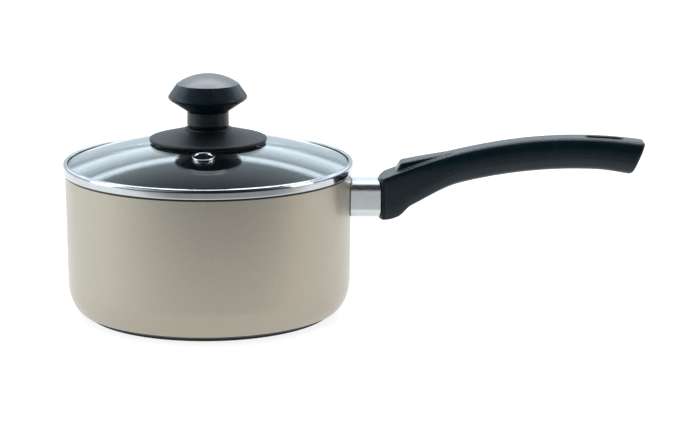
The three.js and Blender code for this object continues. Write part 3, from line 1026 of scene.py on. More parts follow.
@dataclass
class Handle:
    """Ferrule and moulded grip, with the screw in the heel."""

    pan: Pan
    gap: float = 0.3
    tang_z: float = 74.2
    ferrule_width: float = 21.0
    ferrule_height: float = 23.6
    ferrule_corner: float = 5.6
    ferrule_wall: float = 1.2
    ferrule_edge: float = 0.25
    ferrule_length: float = 16.6
    nose_radius: float = 26.0
    length: float = 170.0
    front_top: float = 13.2
    rise: float = 26.8
    crest: float = 0.745
    depth: float = 20.3
    heel_taper: float = 5.0
    heel_taper_span: Point = (0.08, 0.3)
    heel_step: float = 3.6
    heel_step_span: Point = (0.075, 0.125)
    heel_toe: float = 2.6
    heel_toe_span: Point = (-0.01, 0.06)
    tail_flare: float = 0.2
    tail_flare_span: Point = (0.84, 0.98)
    tail_lean: float = 23.0
    tail_lean_span: Point = (0.78, 1.0)
    tail_round: float = 1.8
    tail_ease: float = 0.8
    front_width: float = 28.0
    width: float = 20.5
    tail_width: float = 23.0
    front_span: Point = (0.0, 0.42)
    tail_span: Point = (0.6, 1.0)
    flat_front: float = 25.0
    flat_width: float = 11.0
    # From the middle of the grip to its boxy front: how far its underside stays flat, and how square it is.
    boxy_span: Point = (0.02, 0.34)
    under_share: Point = (0.3, 0.72)
    squareness: Point = (2.5, 4.6)
    side_steps: int = 24
    rings: int = 150
    round_rings: int = 6
    nose_overrun: float = 0.02
    rest_length: float = 50.0
    rest_height: float = 5.4
    rest_ledge: float = 3.2
    rest_setback: float = 9.6
    rest_fade: float = 1.5
    rest_slope: float = 0.75
    rest_settle: float = 0.3
    rest_shoulder: float = 0.9
    rest_edge: float = 1.2
    rest_root: float = 2.0
    rest_rings: int = 40
    slot_length: float = 23.5
    slot_width: float = 6.4
    slot_from_tail: float = 26.0
    slot_flare: float = 1.0
    overrun: float = 2.0
    socket_half: float = 6.8
    socket_low: float = 72.4
    socket_high: float = 81.3
    socket_depth: float = 16.8
    screw_setback: float = 10.5
    screw_seat: float = 67.2
    screw_tip: float = 81.0
    washer_top: float = 68.7
    pocket_radius: float = 4.7
    pocket_top: float = 69.0
    bore_radius: float = 2.8
    voxel: float = 0.5
    skin_passes: int = 22
    seam_span: Point = (0.2, 0.975)
    seam_steps: int = 90
    seam_radius: float = 0.3
    seam_depth: float = 0.12

    def __post_init__(self) -> None:
        """Work out where the grip starts and ends."""
        self.front_x = self.pan.wall_radius(self.tang_z) + self.ferrule_length + 2 * self.gap
        self.tail_x = self.front_x + self.length
        self.nose_x = self.front_x + self.nose_radius
        self.screw_x = self.front_x + self.screw_setback

    def ferrule_ring(self, inset: float, share: float, trim: float) -> list[Spot]:
        """Ring of the ferrule at a share of the way from the pan wall to the grip.

        Args:
            inset: Distance in from the outer section.
            share: 0 at the pan wall and 1 at the grip.
            trim: Distance that the ring stays back from both ends.

        Returns:
            Points of the ring.
        """
        width = self.ferrule_width - 2 * inset
        height = self.ferrule_height - 2 * inset
        ring = []
        for y, z in rounded_box(width, height, self.ferrule_corner - inset):
            z += self.tang_z
            start = math.sqrt((self.pan.wall_radius(z) + self.gap) ** 2 - y * y) + trim
            end = self.nose_x - math.sqrt((self.nose_radius + self.gap) ** 2 - y * y) - trim
            ring.append((lerp(start, end, share), y, z))
        return ring

    def ferrule(self) -> bpy.types.Object:
        """Drawn sleeve with both ends cut to what they meet and the edges broken.

        Returns:
            The piece.
        """
        edge = self.ferrule_edge
        near_bore = self.ferrule_wall - edge
        rings = [self.ferrule_ring(edge, 0.0, 0.0)]
        # A ring close to each end keeps the shading of the long middle flat.
        rings += [self.ferrule_ring(0.0, share, edge) for share in (0.0, 0.05, 0.5, 0.95, 1.0)]
        rings += [self.ferrule_ring(edge, 1.0, 0.0), self.ferrule_ring(near_bore, 1.0, 0.0)]
        rings += [self.ferrule_ring(self.ferrule_wall, share, edge) for share in (1.0, 0.5, 0.0)]
        rings.append(self.ferrule_ring(near_bore, 0.0, 0.0))
        count = len(rings[0])
        vertices = [point for ring in rings for point in ring]
        faces = []
        for ring in range(len(rings)):
            low, high = ring * count, (ring + 1) % len(rings) * count
            for i in range(count):
                after = (i + 1) % count
                faces.append([low + i, low + after, high + after, high + i])
        return sharpened(make_object("ferrule_sleeve", vertices, faces), 35.0)

    def top(self, share: float) -> float:
        """Height of the grip's top line at a share of its length."""
        return self.tang_z + self.front_top + self.rise * (1 - ((share - self.crest) / self.crest) ** 2)

    def depth_at(self, share: float) -> float:
        """Depth of the grip: deep heel, step, even middle and flared tail.

        Args:
            share: 0 at the front and 1 at the tail.

        Returns:
            Depth in millimetres.
        """
        taper = 1 - smoothstep(share, *self.heel_taper_span)
        step = 1 - smoothstep(share, *self.heel_step_span)
        toe = 1 - smoothstep(share, *self.heel_toe_span)
        tail = smoothstep(share, *self.tail_flare_span)
        heel = self.heel_taper * taper + self.heel_step * step - self.heel_toe * toe
        return self.depth + heel + self.tail_flare * tail

    def half_width(self, share: float) -> float:
        """Half of the grip's full width.

        Args:
            share: Share of the grip's length.

        Returns:
            Half of the width.
        """
        front = (self.front_width - self.width) * (1 - smoothstep(share, *self.front_span))
        tail = (self.tail_width - self.width) * smoothstep(share, *self.tail_span)
        return (self.width + front + tail) / 2

    def flat_half(self, share: float) -> float:
        """Half of the flat along the top at a share of the grip's length."""
        front = 1 - smoothstep(share, *self.front_span)
        return (self.flat_width + (self.flat_front - self.flat_width) * front) / 2

    def seam_z(self, share: float) -> float:
        """Height of the parting line on the side of the grip."""
        return self.top(share) - 0.5 * self.depth_at(share)

    def lean_at(self, share: float) -> float:
        """Slope of a section towards the tail's end face."""
        return math.tan(math.radians(self.tail_lean)) * smoothstep(share, *self.tail_lean_span)

    def section(self, share: float, inset: float = 0.0) -> list[Spot]:
        """Ring of the grip at a share of its length.

        Args:
            share: 0 at the front and 1 at the tail.
            inset: Distance in from the full section, for the rounded tail.

        Returns:
            Points of the ring.
        """
        boxy = 1 - smoothstep(share, *self.boxy_span)
        seam = self.seam_z(share)
        half = self.half_width(share) - inset
        flat = max(1.0, self.flat_half(share) - inset)
        under = half * lerp(*self.under_share, boxy)
        high = self.top(share) - inset - seam
        low = seam - (self.top(share) - self.depth_at(share) + inset)
        power = 2.0 / lerp(*self.squareness, boxy)
        side = []
        for i in range(self.side_steps + 1):
            angle = math.radians(lerp(90, -90, i / self.side_steps))
            across, up = math.cos(angle) ** power, abs(math.sin(angle)) ** power
            if angle >= 0:
                side.append((flat + (half - flat) * across, seam + high * up))
            else:
                side.append((under + (half - under) * across, seam - low * up))
        outline = [*side, *[(-y, z) for y, z in reversed(side)]]
        x = self.front_x + share * self.length
        lean = self.lean_at(share)
        return [(x - lean * (self.top(share) - z), y, z) for y, z in outline]

    def grip_blank(self) -> bpy.types.Object:
        """Grip without its thumb rest, cuts and holes.

        Returns:
            The blank.
        """
        last = 1.0 - self.tail_round / self.length
        shares = [i / self.rings for i in range(self.rings + 1)]
        rings = [self.section(lerp(-self.nose_overrun, last, share)) for share in shares]
        for step in range(1, self.round_rings + 1):
            angle = math.radians(90 * step / self.round_rings)
            share = 1.0 - self.tail_round * (1 - math.sin(angle)) / self.length
            rings.append(self.section(share, self.tail_round * (1 - math.cos(angle)) * self.tail_ease))
        return lofted("grip_moulding", rings)

    def thumb_rest(self) -> bpy.types.Object:
        """Wedge on top of the grip, steep at its front and flush at its back.

        Returns:
            The wedge, to be joined to the grip.
        """
        rings = []
        run = self.rest_slope * self.rest_height
        for i in range(self.rest_rings + 1):
            along = i / self.rest_rings
            x = self.rest_setback + along * self.rest_length
            share = x / self.length
            height = self.rest_height * (1 - along) ** self.rest_fade
            half = self.flat_half(share) - self.rest_ledge * (1 - along) - self.gap
            low = self.top(share) - self.rest_root
            high = self.top(share) + height - self.rest_settle * along
            if 0 < x - self.rest_setback < 0.8 * self.rest_height:
                # The first ring's top leans back over this stretch.
                continue
            corners = [
                (half - self.rest_shoulder, high, self.rest_edge),
                (half + self.gap, low, 0.0),
                (-half - self.gap, low, 0.0),
                (self.rest_shoulder - half, high, self.rest_edge),
            ]
            ring = []
            for y, z in rounded(corners, steps=4):
                shift = run * (z - low) / (high - low) if i == 0 else 0.0
                ring.append((self.front_x + x + shift, y, z))
            rings.append(ring)
        return lofted("thumb_rest", rings)

    def nose_cutter(self) -> bpy.types.Object:
        """Everything in front of the grip's curved front face.

        Returns:
            The cutter.
        """
        reach = 0.7 * self.front_width
        half = math.asin(reach / self.nose_radius)
        steps = 32
        outline = []
        for i in range(steps + 1):
            angle = math.pi + lerp(-half, half, i / steps)
            x = self.nose_x + self.nose_radius * math.cos(angle)
            outline.append((x, self.nose_radius * math.sin(angle)))
        clear = self.front_x - 12.0
        outline += [(clear, -reach), (clear, reach)]
        low, high = self.tang_z - 30.0, self.tang_z + 40.0
        return lofted("nose", [[(x, y, z) for x, y in outline] for z in (low, high)])

    def slot_cutter(self) -> bpy.types.Object:
        """Hanging slot with flared mouths above and below.

        Returns:
            The cutter.
        """
        centre = self.tail_x - self.slot_from_tail
        share = 1 - self.slot_from_tail / self.length
        top = self.top(share)
        bottom = top - self.depth_at(share)
        flare = self.slot_flare
        mouth = 3 * flare
        levels = [
            (bottom - self.overrun, mouth),
            (bottom + flare, 0.0),
            (top - flare, 0.0),
            (top + self.overrun, mouth),
        ]
        slope = 2 * self.rise * (self.crest - share) / self.crest**2 / self.length
        rings = []
        for z, wider in levels:
            width = self.slot_width + 2 * wider
            outline = rounded_box(self.slot_length + 2 * wider, width, width / 2)
            rings.append([(centre + x, y, z + slope * x) for x, y in outline])
        return lofted("hanging_slot", rings)

    def socket_cutter(self) -> bpy.types.Object:
        """Socket in the grip's front for the tang and the nut.

        Returns:
            The cutter.
        """
        half, low, high = self.socket_half, self.socket_low, self.socket_high
        outline = [(half, low), (half, high), (-half, high), (-half, low)]
        ends = (self.front_x - 10.0, self.front_x + self.socket_depth)
        return lofted("socket", [[(x, y, z) for y, z in outline] for x in ends])

    def heel_drill(self, name: str, radius: float, low: float, high: float) -> bpy.types.Object:
        """Round cutter up through the heel.

        Args:
            name: Name of the cutter.
            radius: Radius of the hole.
            low: Height at which the cut starts.
            high: Height at which it ends.

        Returns:
            The cutter.
        """
        drill = turned(name, [(0.0, low), (radius, low), (radius, high), (0.0, high)], 48)
        drill.location.x = self.screw_x * MM
        return drill

    def grip(self) -> bpy.types.Object:
        """Moulded grip, its edges softened as the mould leaves them.

        Returns:
            The piece.
        """
        grip = carved(self.grip_blank(), [self.thumb_rest()], join=True)
        heel = self.heel_toe_span[1]
        bottom = self.top(heel) - self.depth_at(heel)
        socket = self.socket_cutter()
        pocket = self.heel_drill("pocket", self.pocket_radius, bottom - 3.0, self.pocket_top)
        bore = self.heel_drill("bore", self.bore_radius, self.pocket_top - 3.0, self.pocket_top + 5.0)
        bpy.context.view_layer.update()
        carved(grip, [self.nose_cutter(), self.slot_cutter(), socket, pocket, bore])
        remesh = grip.modifiers.new("skin", "REMESH")
        remesh.mode = "VOXEL"
        remesh.voxel_size = self.voxel * MM
        remesh.use_smooth_shade = True
        soften = grip.modifiers.new("soften", "SMOOTH")
        soften.factor = 0.5
        soften.iterations = self.skin_passes
        return settled(grip)

    def seam_path(self) -> bpy.types.Object:
        """Line along both sides of the grip where the mould parts.

        Returns:
            Object with edges only, for the bead to follow.
        """
        points, edges = [], []
        for side in (1.0, -1.0):
            first = len(points)
            for i in range(self.seam_steps + 1):
                share = lerp(*self.seam_span, i / self.seam_steps)
                z = self.seam_z(share)
                x = self.front_x + share * self.length - self.lean_at(share) * (self.top(share) - z)
                points.append(Vector((x, side * (self.half_width(share) - self.seam_depth), z)) * MM)
            edges += [(first + i, first + i + 1) for i in range(self.seam_steps)]
        mesh = bpy.data.meshes.new("grip_parting_line")
        mesh.from_pydata(points, edges, [])
        return placed(mesh.name, mesh)

    def build(self, frame: dict, finishes: Finishes, helix: GeometryTree, beads: GeometryTree) -> None:
        """Build and dress the ferrule, the grip, its parting line and the screw in its heel.

        Args:
            frame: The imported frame.
            finishes: The saucepan's materials.
            helix: Tree that winds threads and spring washers.
            beads: Tree that lays the parting line.
        """
        stand_in(self.ferrule(), Body.PAN, [finishes.drawn], ["ferrule"])
        stand_in(self.grip(), Body.PAN, [finishes.phenolic], ["handle_grip"])
        seam = beads.grow(self.seam_path(), finishes.phenolic, {"Bead Radius": self.seam_radius * MM})
        stand_in(seam, Body.PAN, [])
        dress(frame["nodes"]["handle_bracket"], finishes.drawn)
        dress(frame["nodes"]["handle_nut"], finishes.zinc)
        screw = CrossScrew("heel_screw", self.screw_seat, self.screw_tip, centre_x=self.screw_x)
        screw.build(Body.PAN, "handle_screw", finishes.zinc, helix)
        washer = SpringWasher("heel_spring_washer", self.washer_top, centre_x=self.screw_x)
        washer.build(Body.PAN, "handle_lock_washer", finishes.zinc, helix)


# ------------------------------------------------------------------ fasteners


@dataclass
class CrossScrew:
    """Pan-head screw with a cross recess and a cut thread, standing head down."""

    name: str
    seat_z: float
    tip_z: float
    centre_x: float = 0.0
    shank_radius: float = 2.5
    head_radius: float = 4.4
    head_height: float = 2.8
    recess_reach: float = 2.3
    recess_width: float = 1.0
    recess_depth: float = 1.6
    pitch: float = 0.8
    thread_depth: float = 0.45
    thread_root: float = 0.05
    thread_width: float = 0.45
    thread_start: float = 1.2
    thread_end: float = 0.8
    point: float = 0.6

    def blank(self) -> bpy.types.Object:
        """Head and core of the screw.

        Returns:
            The blank, without recess or thread.
        """
        low = self.seat_z - self.head_height
        core = self.shank_radius - self.thread_depth
        profile = rounded(
            [
                (0.0, low, 0.0),
                (self.head_radius * 0.55, low, 1.0),
                (self.head_radius, low + self.head_height * 0.6, 0.9),
                (self.head_radius, self.seat_z, 0.25),
                (core, self.seat_z, 0.3),
                (core, self.tip_z - self.point, 0.2),
                (core - self.point, self.tip_z, 0.2),
                (0.0, self.tip_z, 0.0),
            ],
            closed=False,
        )
        return turned(self.name, profile, 64)

    def recess_wing(self, along_x: bool) -> bpy.types.Object:
        """One tapered bar of the cross recess.

        Args:
            along_x: Whether the bar runs along X, rather than along Y.

        Returns:
            The cutter.
        """
        low = self.seat_z - self.head_height
        rings = []
        for z, shrink in ((low - 1.0, -0.25), (low + self.recess_depth, 0.7)):
            reach, half = self.recess_reach - shrink, self.recess_width / 2 - 0.15 * shrink
            corner = [(reach, half), (-reach, half), (-reach, -half), (reach, -half)]
            rings.append([(x, y, z) if along_x else (-y, x, z) for x, y in corner])
        return lofted("recess", rings)

    def build(self, body: Body, node: str, finish: bpy.types.Material, helix: GeometryTree) -> None:
        """Build the screw, cut its recess, wind its thread and dress it.

        Args:
            body: Body it rides on.
            node: CAD node it replaces.
            finish: Its material.
            helix: Tree that winds the thread.
        """
        screw = carved(self.blank(), [self.recess_wing(True), self.recess_wing(False)])
        start = self.seat_z + self.thread_start
        length = self.tip_z - self.thread_end - start
        core = self.shank_radius - self.thread_depth
        sizes = {
            "Radius": (core + self.thread_depth / 2 - self.thread_root) * MM,
            "Rise": length * MM,
            "Turns": length / self.pitch,
            "Section Across": (self.thread_depth + 2 * self.thread_root) * MM,
            "Section High": self.pitch * self.thread_width * MM,
            "Start Height": start * MM,
        }
        thread = helix.grow(placed("thread", bpy.data.meshes.new("thread")), finish, sizes)
        screw = sharpened(joined(screw, thread))
        screw.data.transform(Matrix.Translation((self.centre_x * MM, 0.0, 0.0)))
        stand_in(screw, body, [finish], [node])


@dataclass
class SpringWasher:
    """Split spring washer, one turn of square bar with sprung ends."""

    name: str
    top_z: float
    centre_x: float = 0.0
    inner_radius: float = 2.8
    outer_radius: float = 4.4
    thickness: float = 0.95
    spring: float = 0.25
    turns: float = 0.96

    def build(self, body: Body, node: str, finish: bpy.types.Material, helix: GeometryTree) -> None:
        """Wind the washer and dress it.

        Args:
            body: Body it rides on.
            node: CAD node it replaces.
            finish: Its material.
            helix: Tree that winds it.
        """
        sizes = {
            "Radius": (self.inner_radius + self.outer_radius) / 2 * MM,
            "Rise": self.spring * MM,
            "Turns": self.turns,
            "Section Across": (self.outer_radius - self.inner_radius) * MM,
            "Section High": self.thickness * MM,
            "Start Height": (self.top_z - self.spring - self.thickness / 2) * MM,
        }
        washer = helix.grow(placed(self.name, bpy.data.meshes.new(self.name)), finish, sizes)
        washer.data.transform(Matrix.Translation((self.centre_x * MM, 0.0, 0.0)))
        stand_in(sharpened(washer), body, [finish], [node])


# ------------------------------------------------------------------ lid


@dataclass
class Lid:
    """Domed glass with its steel rim, vent eyelet and knob."""

    pan: Pan
    gap: float = 0.3
    dome_radius: float = 260.0
    glass: float = 3.2
    glass_round: float = 0.8
    overhang: float = 1.4
    bead_width: float = 1.5
    sheet: float = 0.8
    lip_width: float = 1.3
    shoulder: Point = (1.3, 2.6)
    skirt_clearance: float = 0.8
    skirt: float = 0.9
    skirt_depth: float = 5.0
    vent_distance: float = 45.5
    vent_turn: float = -90.5
    vent_bore: float = 5.0
    vent_barrel: float = 0.5
    vent_flange: float = 7.1
    vent_sheet: float = 0.7
    flange_radius: float = 37.5
    flange_edge: float = 2.4
    flange_rise: float = 5.3
    flange_wall: float = 2.2
    flange_lip: float = 2.5
    flange_step: float = 1.6
    collar_radius: float = 14.7
    collar_height: float = 1.4
    neck_radius: float = 13.3
    neck_height: float = 9.8
    head_radius: float = 25.2
    head_under: float = 7.8
    head_band: float = 2.0
    neck_groove: Point = (0.8, 1.3)
    crown_radius: float = 19.8
    crown_rise: float = 7.6
    crown_dome: float = 6.4
    screw_bore: float = 2.8
    sleeve_radius: float = 4.3
    insert_radius: float = 4.3
    insert_length: float = 12.0
    gasket_radius: float = 12.5
    gasket: float = 1.5
    under_radius: float = 9.5
    washer_radius: float = 8.5
    washer: float = 1.2
    lock_washer: float = 1.2

    def __post_init__(self) -> None:
        """Work out the heights that everything on the lid follows."""
        self.seat_z = self.pan.height + self.gap
        self.rim_radius = self.pan.rim_radius + self.overhang
        self.glass_edge = self.rim_radius - self.bead_width - self.gap
        self.inner_radius = self.dome_radius - self.glass
        glass_seat = self.seat_z + self.sheet + self.gap
        self.centre_z = glass_seat - math.sqrt(self.inner_radius**2 - self.glass_edge**2)
        self.dome_top = self.centre_z + self.dome_radius
        self.gasket_top = self.dome_top + self.gap + self.gasket
        self.flange_z = self.dome_z(self.flange_radius - self.flange_lip) + self.gap
        self.shoulder_z = self.flange_z + self.flange_edge + self.flange_rise
        self.neck_z = self.shoulder_z + self.collar_height + self.gap
        self.under_z = self.under_dome_z(self.under_radius) - self.gap
        self.washer_top = self.under_z - self.gasket - self.gap
        self.lock_top = self.washer_top - self.washer - self.gap
        self.screw_seat = self.lock_top - self.lock_washer - self.gap

    def dome_z(self, distance: float) -> float:
        """Height of the glass's outer face at a distance from the axis."""
        return self.centre_z + math.sqrt(self.dome_radius**2 - distance**2)

    def under_dome_z(self, distance: float) -> float:
        """Height of the glass's inner face at a distance from the axis."""
        return self.centre_z + math.sqrt(self.inner_radius**2 - distance**2)

    def vent_matrix(self) -> Matrix:
        """Place of the vent: on the glass, square to it.

        Returns:
            Matrix that takes a shape round +Z at the origin to the vent, in metres.
        """
        turn = math.radians(self.vent_turn)
        reach = self.vent_distance
        spot = Vector((reach * math.cos(turn), reach * math.sin(turn), self.dome_z(reach)))
        tip = math.asin(self.vent_distance / self.dome_radius)
        turned_out = Matrix.Rotation(turn, 4, "Z") @ Matrix.Rotation(tip, 4, "Y")
        return Matrix.Translation(spot * MM) @ turned_out

    def dome(self) -> bpy.types.Object:
        """Domed glass with ground edges, its centre hole and its vent hole.

        Returns:
            The piece.
        """
        hole = self.sleeve_radius + self.gap
        edge = self.glass_edge - self.glass_round
        steps, edge_steps, edge_sweep = 40, 6, 75
        under = [lerp(hole, edge, i / steps) for i in range(steps + 1)]
        profile = [(distance, self.under_dome_z(distance)) for distance in under]
        low = self.under_dome_z(self.glass_edge)
        high = self.dome_z(self.glass_edge)
        for i in range(edge_steps + 1):
            angle = math.radians(lerp(-edge_sweep, edge_sweep, i / edge_steps))
            height = lerp(low, high, 0.5 + 0.5 * math.sin(angle))
            profile.append((edge + self.glass_round * math.cos(angle), height))
        profile += [(distance, self.dome_z(distance)) for distance in reversed(under)]
        glass = turned("lid_dome", profile, 256)
        bore = self.vent_bore + self.vent_barrel + self.gap
        reach = 3 * self.glass
        drill = turned("drill", [(0.0, -reach), (bore, -reach), (bore, reach), (0.0, reach)], 64)
        drill.data.transform(self.vent_matrix())
        return sharpened(carved(glass, [drill]), 30.0)

    def rim(self) -> bpy.types.Object:
        """Folded steel strip: rolled lip on the glass, bead outside and skirt inside the pan.

        Returns:
            The piece.
        """
        lip = self.glass_edge - self.lip_width
        lip_z = self.dome_z(lip) + self.gap
        top = lip_z + self.sheet
        skirt_out = self.pan.rim_radius - self.pan.wall - self.skirt_clearance
        skirt_in = skirt_out - self.skirt
        low = self.seat_z - self.skirt_depth
        groove = self.seat_z + self.sheet
        slot = self.glass_edge + self.gap
        across, down = self.shoulder
        profile = rounded(
            [
                (skirt_in, low, 0.4),
                (skirt_out, low, 0.4),
                (skirt_out, self.seat_z, 0.3),
                (self.rim_radius, self.seat_z, 0.7),
                *ellipse_arc((self.rim_radius - across, top - down), across, down, 0, 90, 12),
                (lip, top, 0.35),
                (lip, lip_z, 0.2),
                (slot, lip_z, 0.2),
                (slot, groove, 0.2),
                (skirt_in, groove, 0.4),
            ],
            steps=5,
        )
        return turned("lid_band", profile, 256)

    def vent(self) -> bpy.types.Object:
        """Eyelet rolled over both faces of the glass.

        Returns:
            The piece.
        """
        barrel = self.vent_bore + self.vent_barrel
        dip = self.vent_flange**2 / (2 * self.inner_radius)
        under = -self.glass - dip - self.gap
        profile = rounded(
            [
                (self.vent_bore, under - self.vent_sheet, 0.5),
                (self.vent_flange, under - self.vent_sheet, 0.3),
                (self.vent_flange, under, 0.15),
                (barrel, under, 0.0),
                (barrel, self.gap, 0.0),
                (self.vent_flange, self.gap, 0.15),
                (self.vent_flange - 0.25, self.gap + self.vent_sheet * 0.8, 0.3),
                (self.vent_bore + 0.5, self.gap + self.vent_sheet, 0.6),
                (self.vent_bore, self.gap, 0.4),
            ],
            steps=4,
        )
        eyelet = turned("vent_eyelet", profile, 96)
        eyelet.data.transform(self.vent_matrix())
        return eyelet

    def flange(self) -> bpy.types.Object:
        """Thin conical skirt of the knob with a stepped edge and a collar.

        Returns:
            The piece.
        """
        hollow = self.shoulder_z - self.flange_wall
        lip_in = self.flange_radius - self.flange_lip
        edge_top = self.flange_z + self.flange_edge
        profile = rounded(
            [
                (self.screw_bore, self.gasket_top + self.gap, 0.2),
                (self.collar_radius - 1.0, self.gasket_top + self.gap, 0.4),
                (self.collar_radius - 1.0, hollow, 0.8),
                (lip_in, self.flange_z + self.flange_edge * 0.6, 1.0),
                (lip_in, self.flange_z, 0.3),
                (self.flange_radius - 0.6, self.flange_z, 0.5),
                (self.flange_radius, self.flange_z + 1.0, 0.5),
                (self.flange_radius - 0.4, edge_top - 0.4, 0.5),
                (self.flange_radius - self.flange_step, edge_top, 0.5),
                (self.collar_radius + 0.3, self.shoulder_z, 0.8),
                (self.collar_radius, self.neck_z - self.gap - 0.5, 0.35),
                (self.neck_radius - 0.3, self.neck_z - self.gap, 0.3),
                (self.screw_bore, self.neck_z - self.gap, 0.2),
            ],
            steps=6,
        )
        return turned("knob_skirt", profile, 192)

    def head(self) -> bpy.types.Object:
        """Knob head: waisted neck, wide band and domed crown with a crisp edge.

        Returns:
            The piece, with its crown as the second finish.
        """
        hole = self.insert_radius + self.gap
        hole_top = self.neck_z + self.gap + self.insert_length + self.gap
        band = self.neck_z + self.neck_height + self.head_under
        crown = band + self.head_band + self.crown_rise
        sphere = (self.crown_radius**2 + self.crown_dome**2) / (2 * self.crown_dome)
        sweep = math.degrees(math.asin(self.crown_radius / sphere))
        centre = (0.0, crown + self.crown_dome - sphere)
        dome = ellipse_arc(centre, sphere, sphere, 90 - sweep, 90, 22)
        # The crown's edge takes a fillet, which needs the room of the next two points.
        dome[0] = (*dome[0][:2], 0.7)
        dome[-1] = (0.0, crown + self.crown_dome, 0.0)
        del dome[1:3]
        groove, groove_top = self.neck_groove
        profile = rounded(
            [
                (0.0, hole_top, 0.0),
                (hole, hole_top, 0.3),
                (hole, self.neck_z, 0.3),
                (self.neck_radius - 0.9, self.neck_z, 0.2),
                (self.neck_radius - groove, self.neck_z + 0.7, 0.2),
                (self.neck_radius + 0.1, self.neck_z + groove_top, 0.4),
                (self.neck_radius - 0.1, self.neck_z + self.neck_height, 1.6),
                (self.head_radius - 1.2, band - 0.6, 0.8),
                (self.head_radius - 0.05, band + 0.7, 0.7),
                (self.head_radius - 0.15, band + self.head_band, 0.8),
                *dome,
            ],
            closed=False,
            steps=6,
        )
        # Above its edge the crown takes the lighter copy of the phenolic: painted sheen.
        return turned("knob_crown", profile, 192, lambda radius, z: int(z > crown + 0.15))

    def flat_ring(self, name: str, outer: float, low: float, high: float, edge: float) -> bpy.types.Object:
        """Flat ring round the screw with broken edges, such as a washer or a gasket.

        Args:
            name: Name of the piece.
            outer: Outside radius.
            low: Height of its underside.
            high: Height of its top.
            edge: Radius of its edges.

        Returns:
            The piece.
        """
        inner = self.screw_bore
        corners = [(inner, low, edge), (outer, low, edge), (outer, high, edge), (inner, high, edge)]
        return sharpened(turned(name, rounded(corners, steps=3), 96))

    def sleeve_gasket(self) -> bpy.types.Object:
        """Gasket under the glass with a sleeve up through the hole.

        Returns:
            The piece.
        """
        profile = rounded(
            [
                (self.screw_bore, self.under_z - self.gasket, 0.2),
                (self.under_radius, self.under_z - self.gasket, 0.5),
                (self.under_radius, self.under_z, 0.3),
                (self.sleeve_radius, self.under_z, 0.2),
                (self.sleeve_radius, self.dome_top - self.gap, 0.2),
                (self.screw_bore, self.dome_top - self.gap, 0.2),
            ],
            steps=3,
        )
        return turned("sleeve_gasket", profile, 96)

    def build(self, frame: dict, finishes: Finishes, helix: GeometryTree) -> None:
        """Build and dress every piece of the lid.

        Args:
            frame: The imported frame.
            finishes: The saucepan's materials.
            helix: Tree that winds threads and spring washers.
        """
        steel, moulded = [finishes.polished], [finishes.phenolic, finishes.crown]
        stand_in(self.dome(), Body.LID, [finishes.glass], ["lid_glass"])
        stand_in(self.rim(), Body.LID, steel, ["lid_rim"])
        stand_in(self.vent(), Body.LID, steel, ["vent_grommet"])
        stand_in(self.flange(), Body.LID, [finishes.satin_phenolic], ["knob_flange"])
        stand_in(self.head(), Body.LID, moulded, ["knob_head"])
        low = self.dome_top + self.gap
        top_gasket = self.flat_ring("top_gasket", self.gasket_radius, low, self.gasket_top, 0.4)
        stand_in(top_gasket, Body.LID, [finishes.silicone], ["knob_gasket"])
        stand_in(self.sleeve_gasket(), Body.LID, [finishes.silicone], ["under_gasket"])
        low = self.washer_top - self.washer
        washer = self.flat_ring("wide_washer", self.washer_radius, low, self.washer_top, 0.2)
        stand_in(washer, Body.LID, [finishes.base_steel], ["knob_washer"])
        lock = SpringWasher("knob_spring_washer", self.lock_top)
        lock.build(Body.LID, "knob_lock_washer", finishes.zinc, helix)
        screw = CrossScrew("knob_clamp_screw", self.screw_seat, self.neck_z + self.insert_length)
        screw.build(Body.LID, "knob_screw", finishes.zinc, helix)
        dress(frame["nodes"]["knob_insert"], finishes.brass)


# ------------------------------------------------------------------ studio


@dataclass(frozen=True)
class Softbox:
    """Rectangular soft light: its place, what it faces, its size in metres, its watts and colour."""

    name: str
    place: Spot
    target: Spot
    size: Point
    power: float
    colour: str

    def build(self) -> None:
        """Hang the light and aim it."""
        data = bpy.data.lights.new(self.name, "AREA")
        data.shape = "RECTANGLE"
        data.size, data.size_y = self.size
        data.energy = self.power
        data.color = linear(self.colour)[:3]
        light = bpy.data.objects.new(self.name, data)
        light.location = self.place
        light.rotation_mode = "QUATERNION"
        light.rotation_quaternion = (Vector(self.target) - Vector(self.place)).to_track_quat("-Z", "Y")
        bpy.context.scene.collection.objects.link(light)


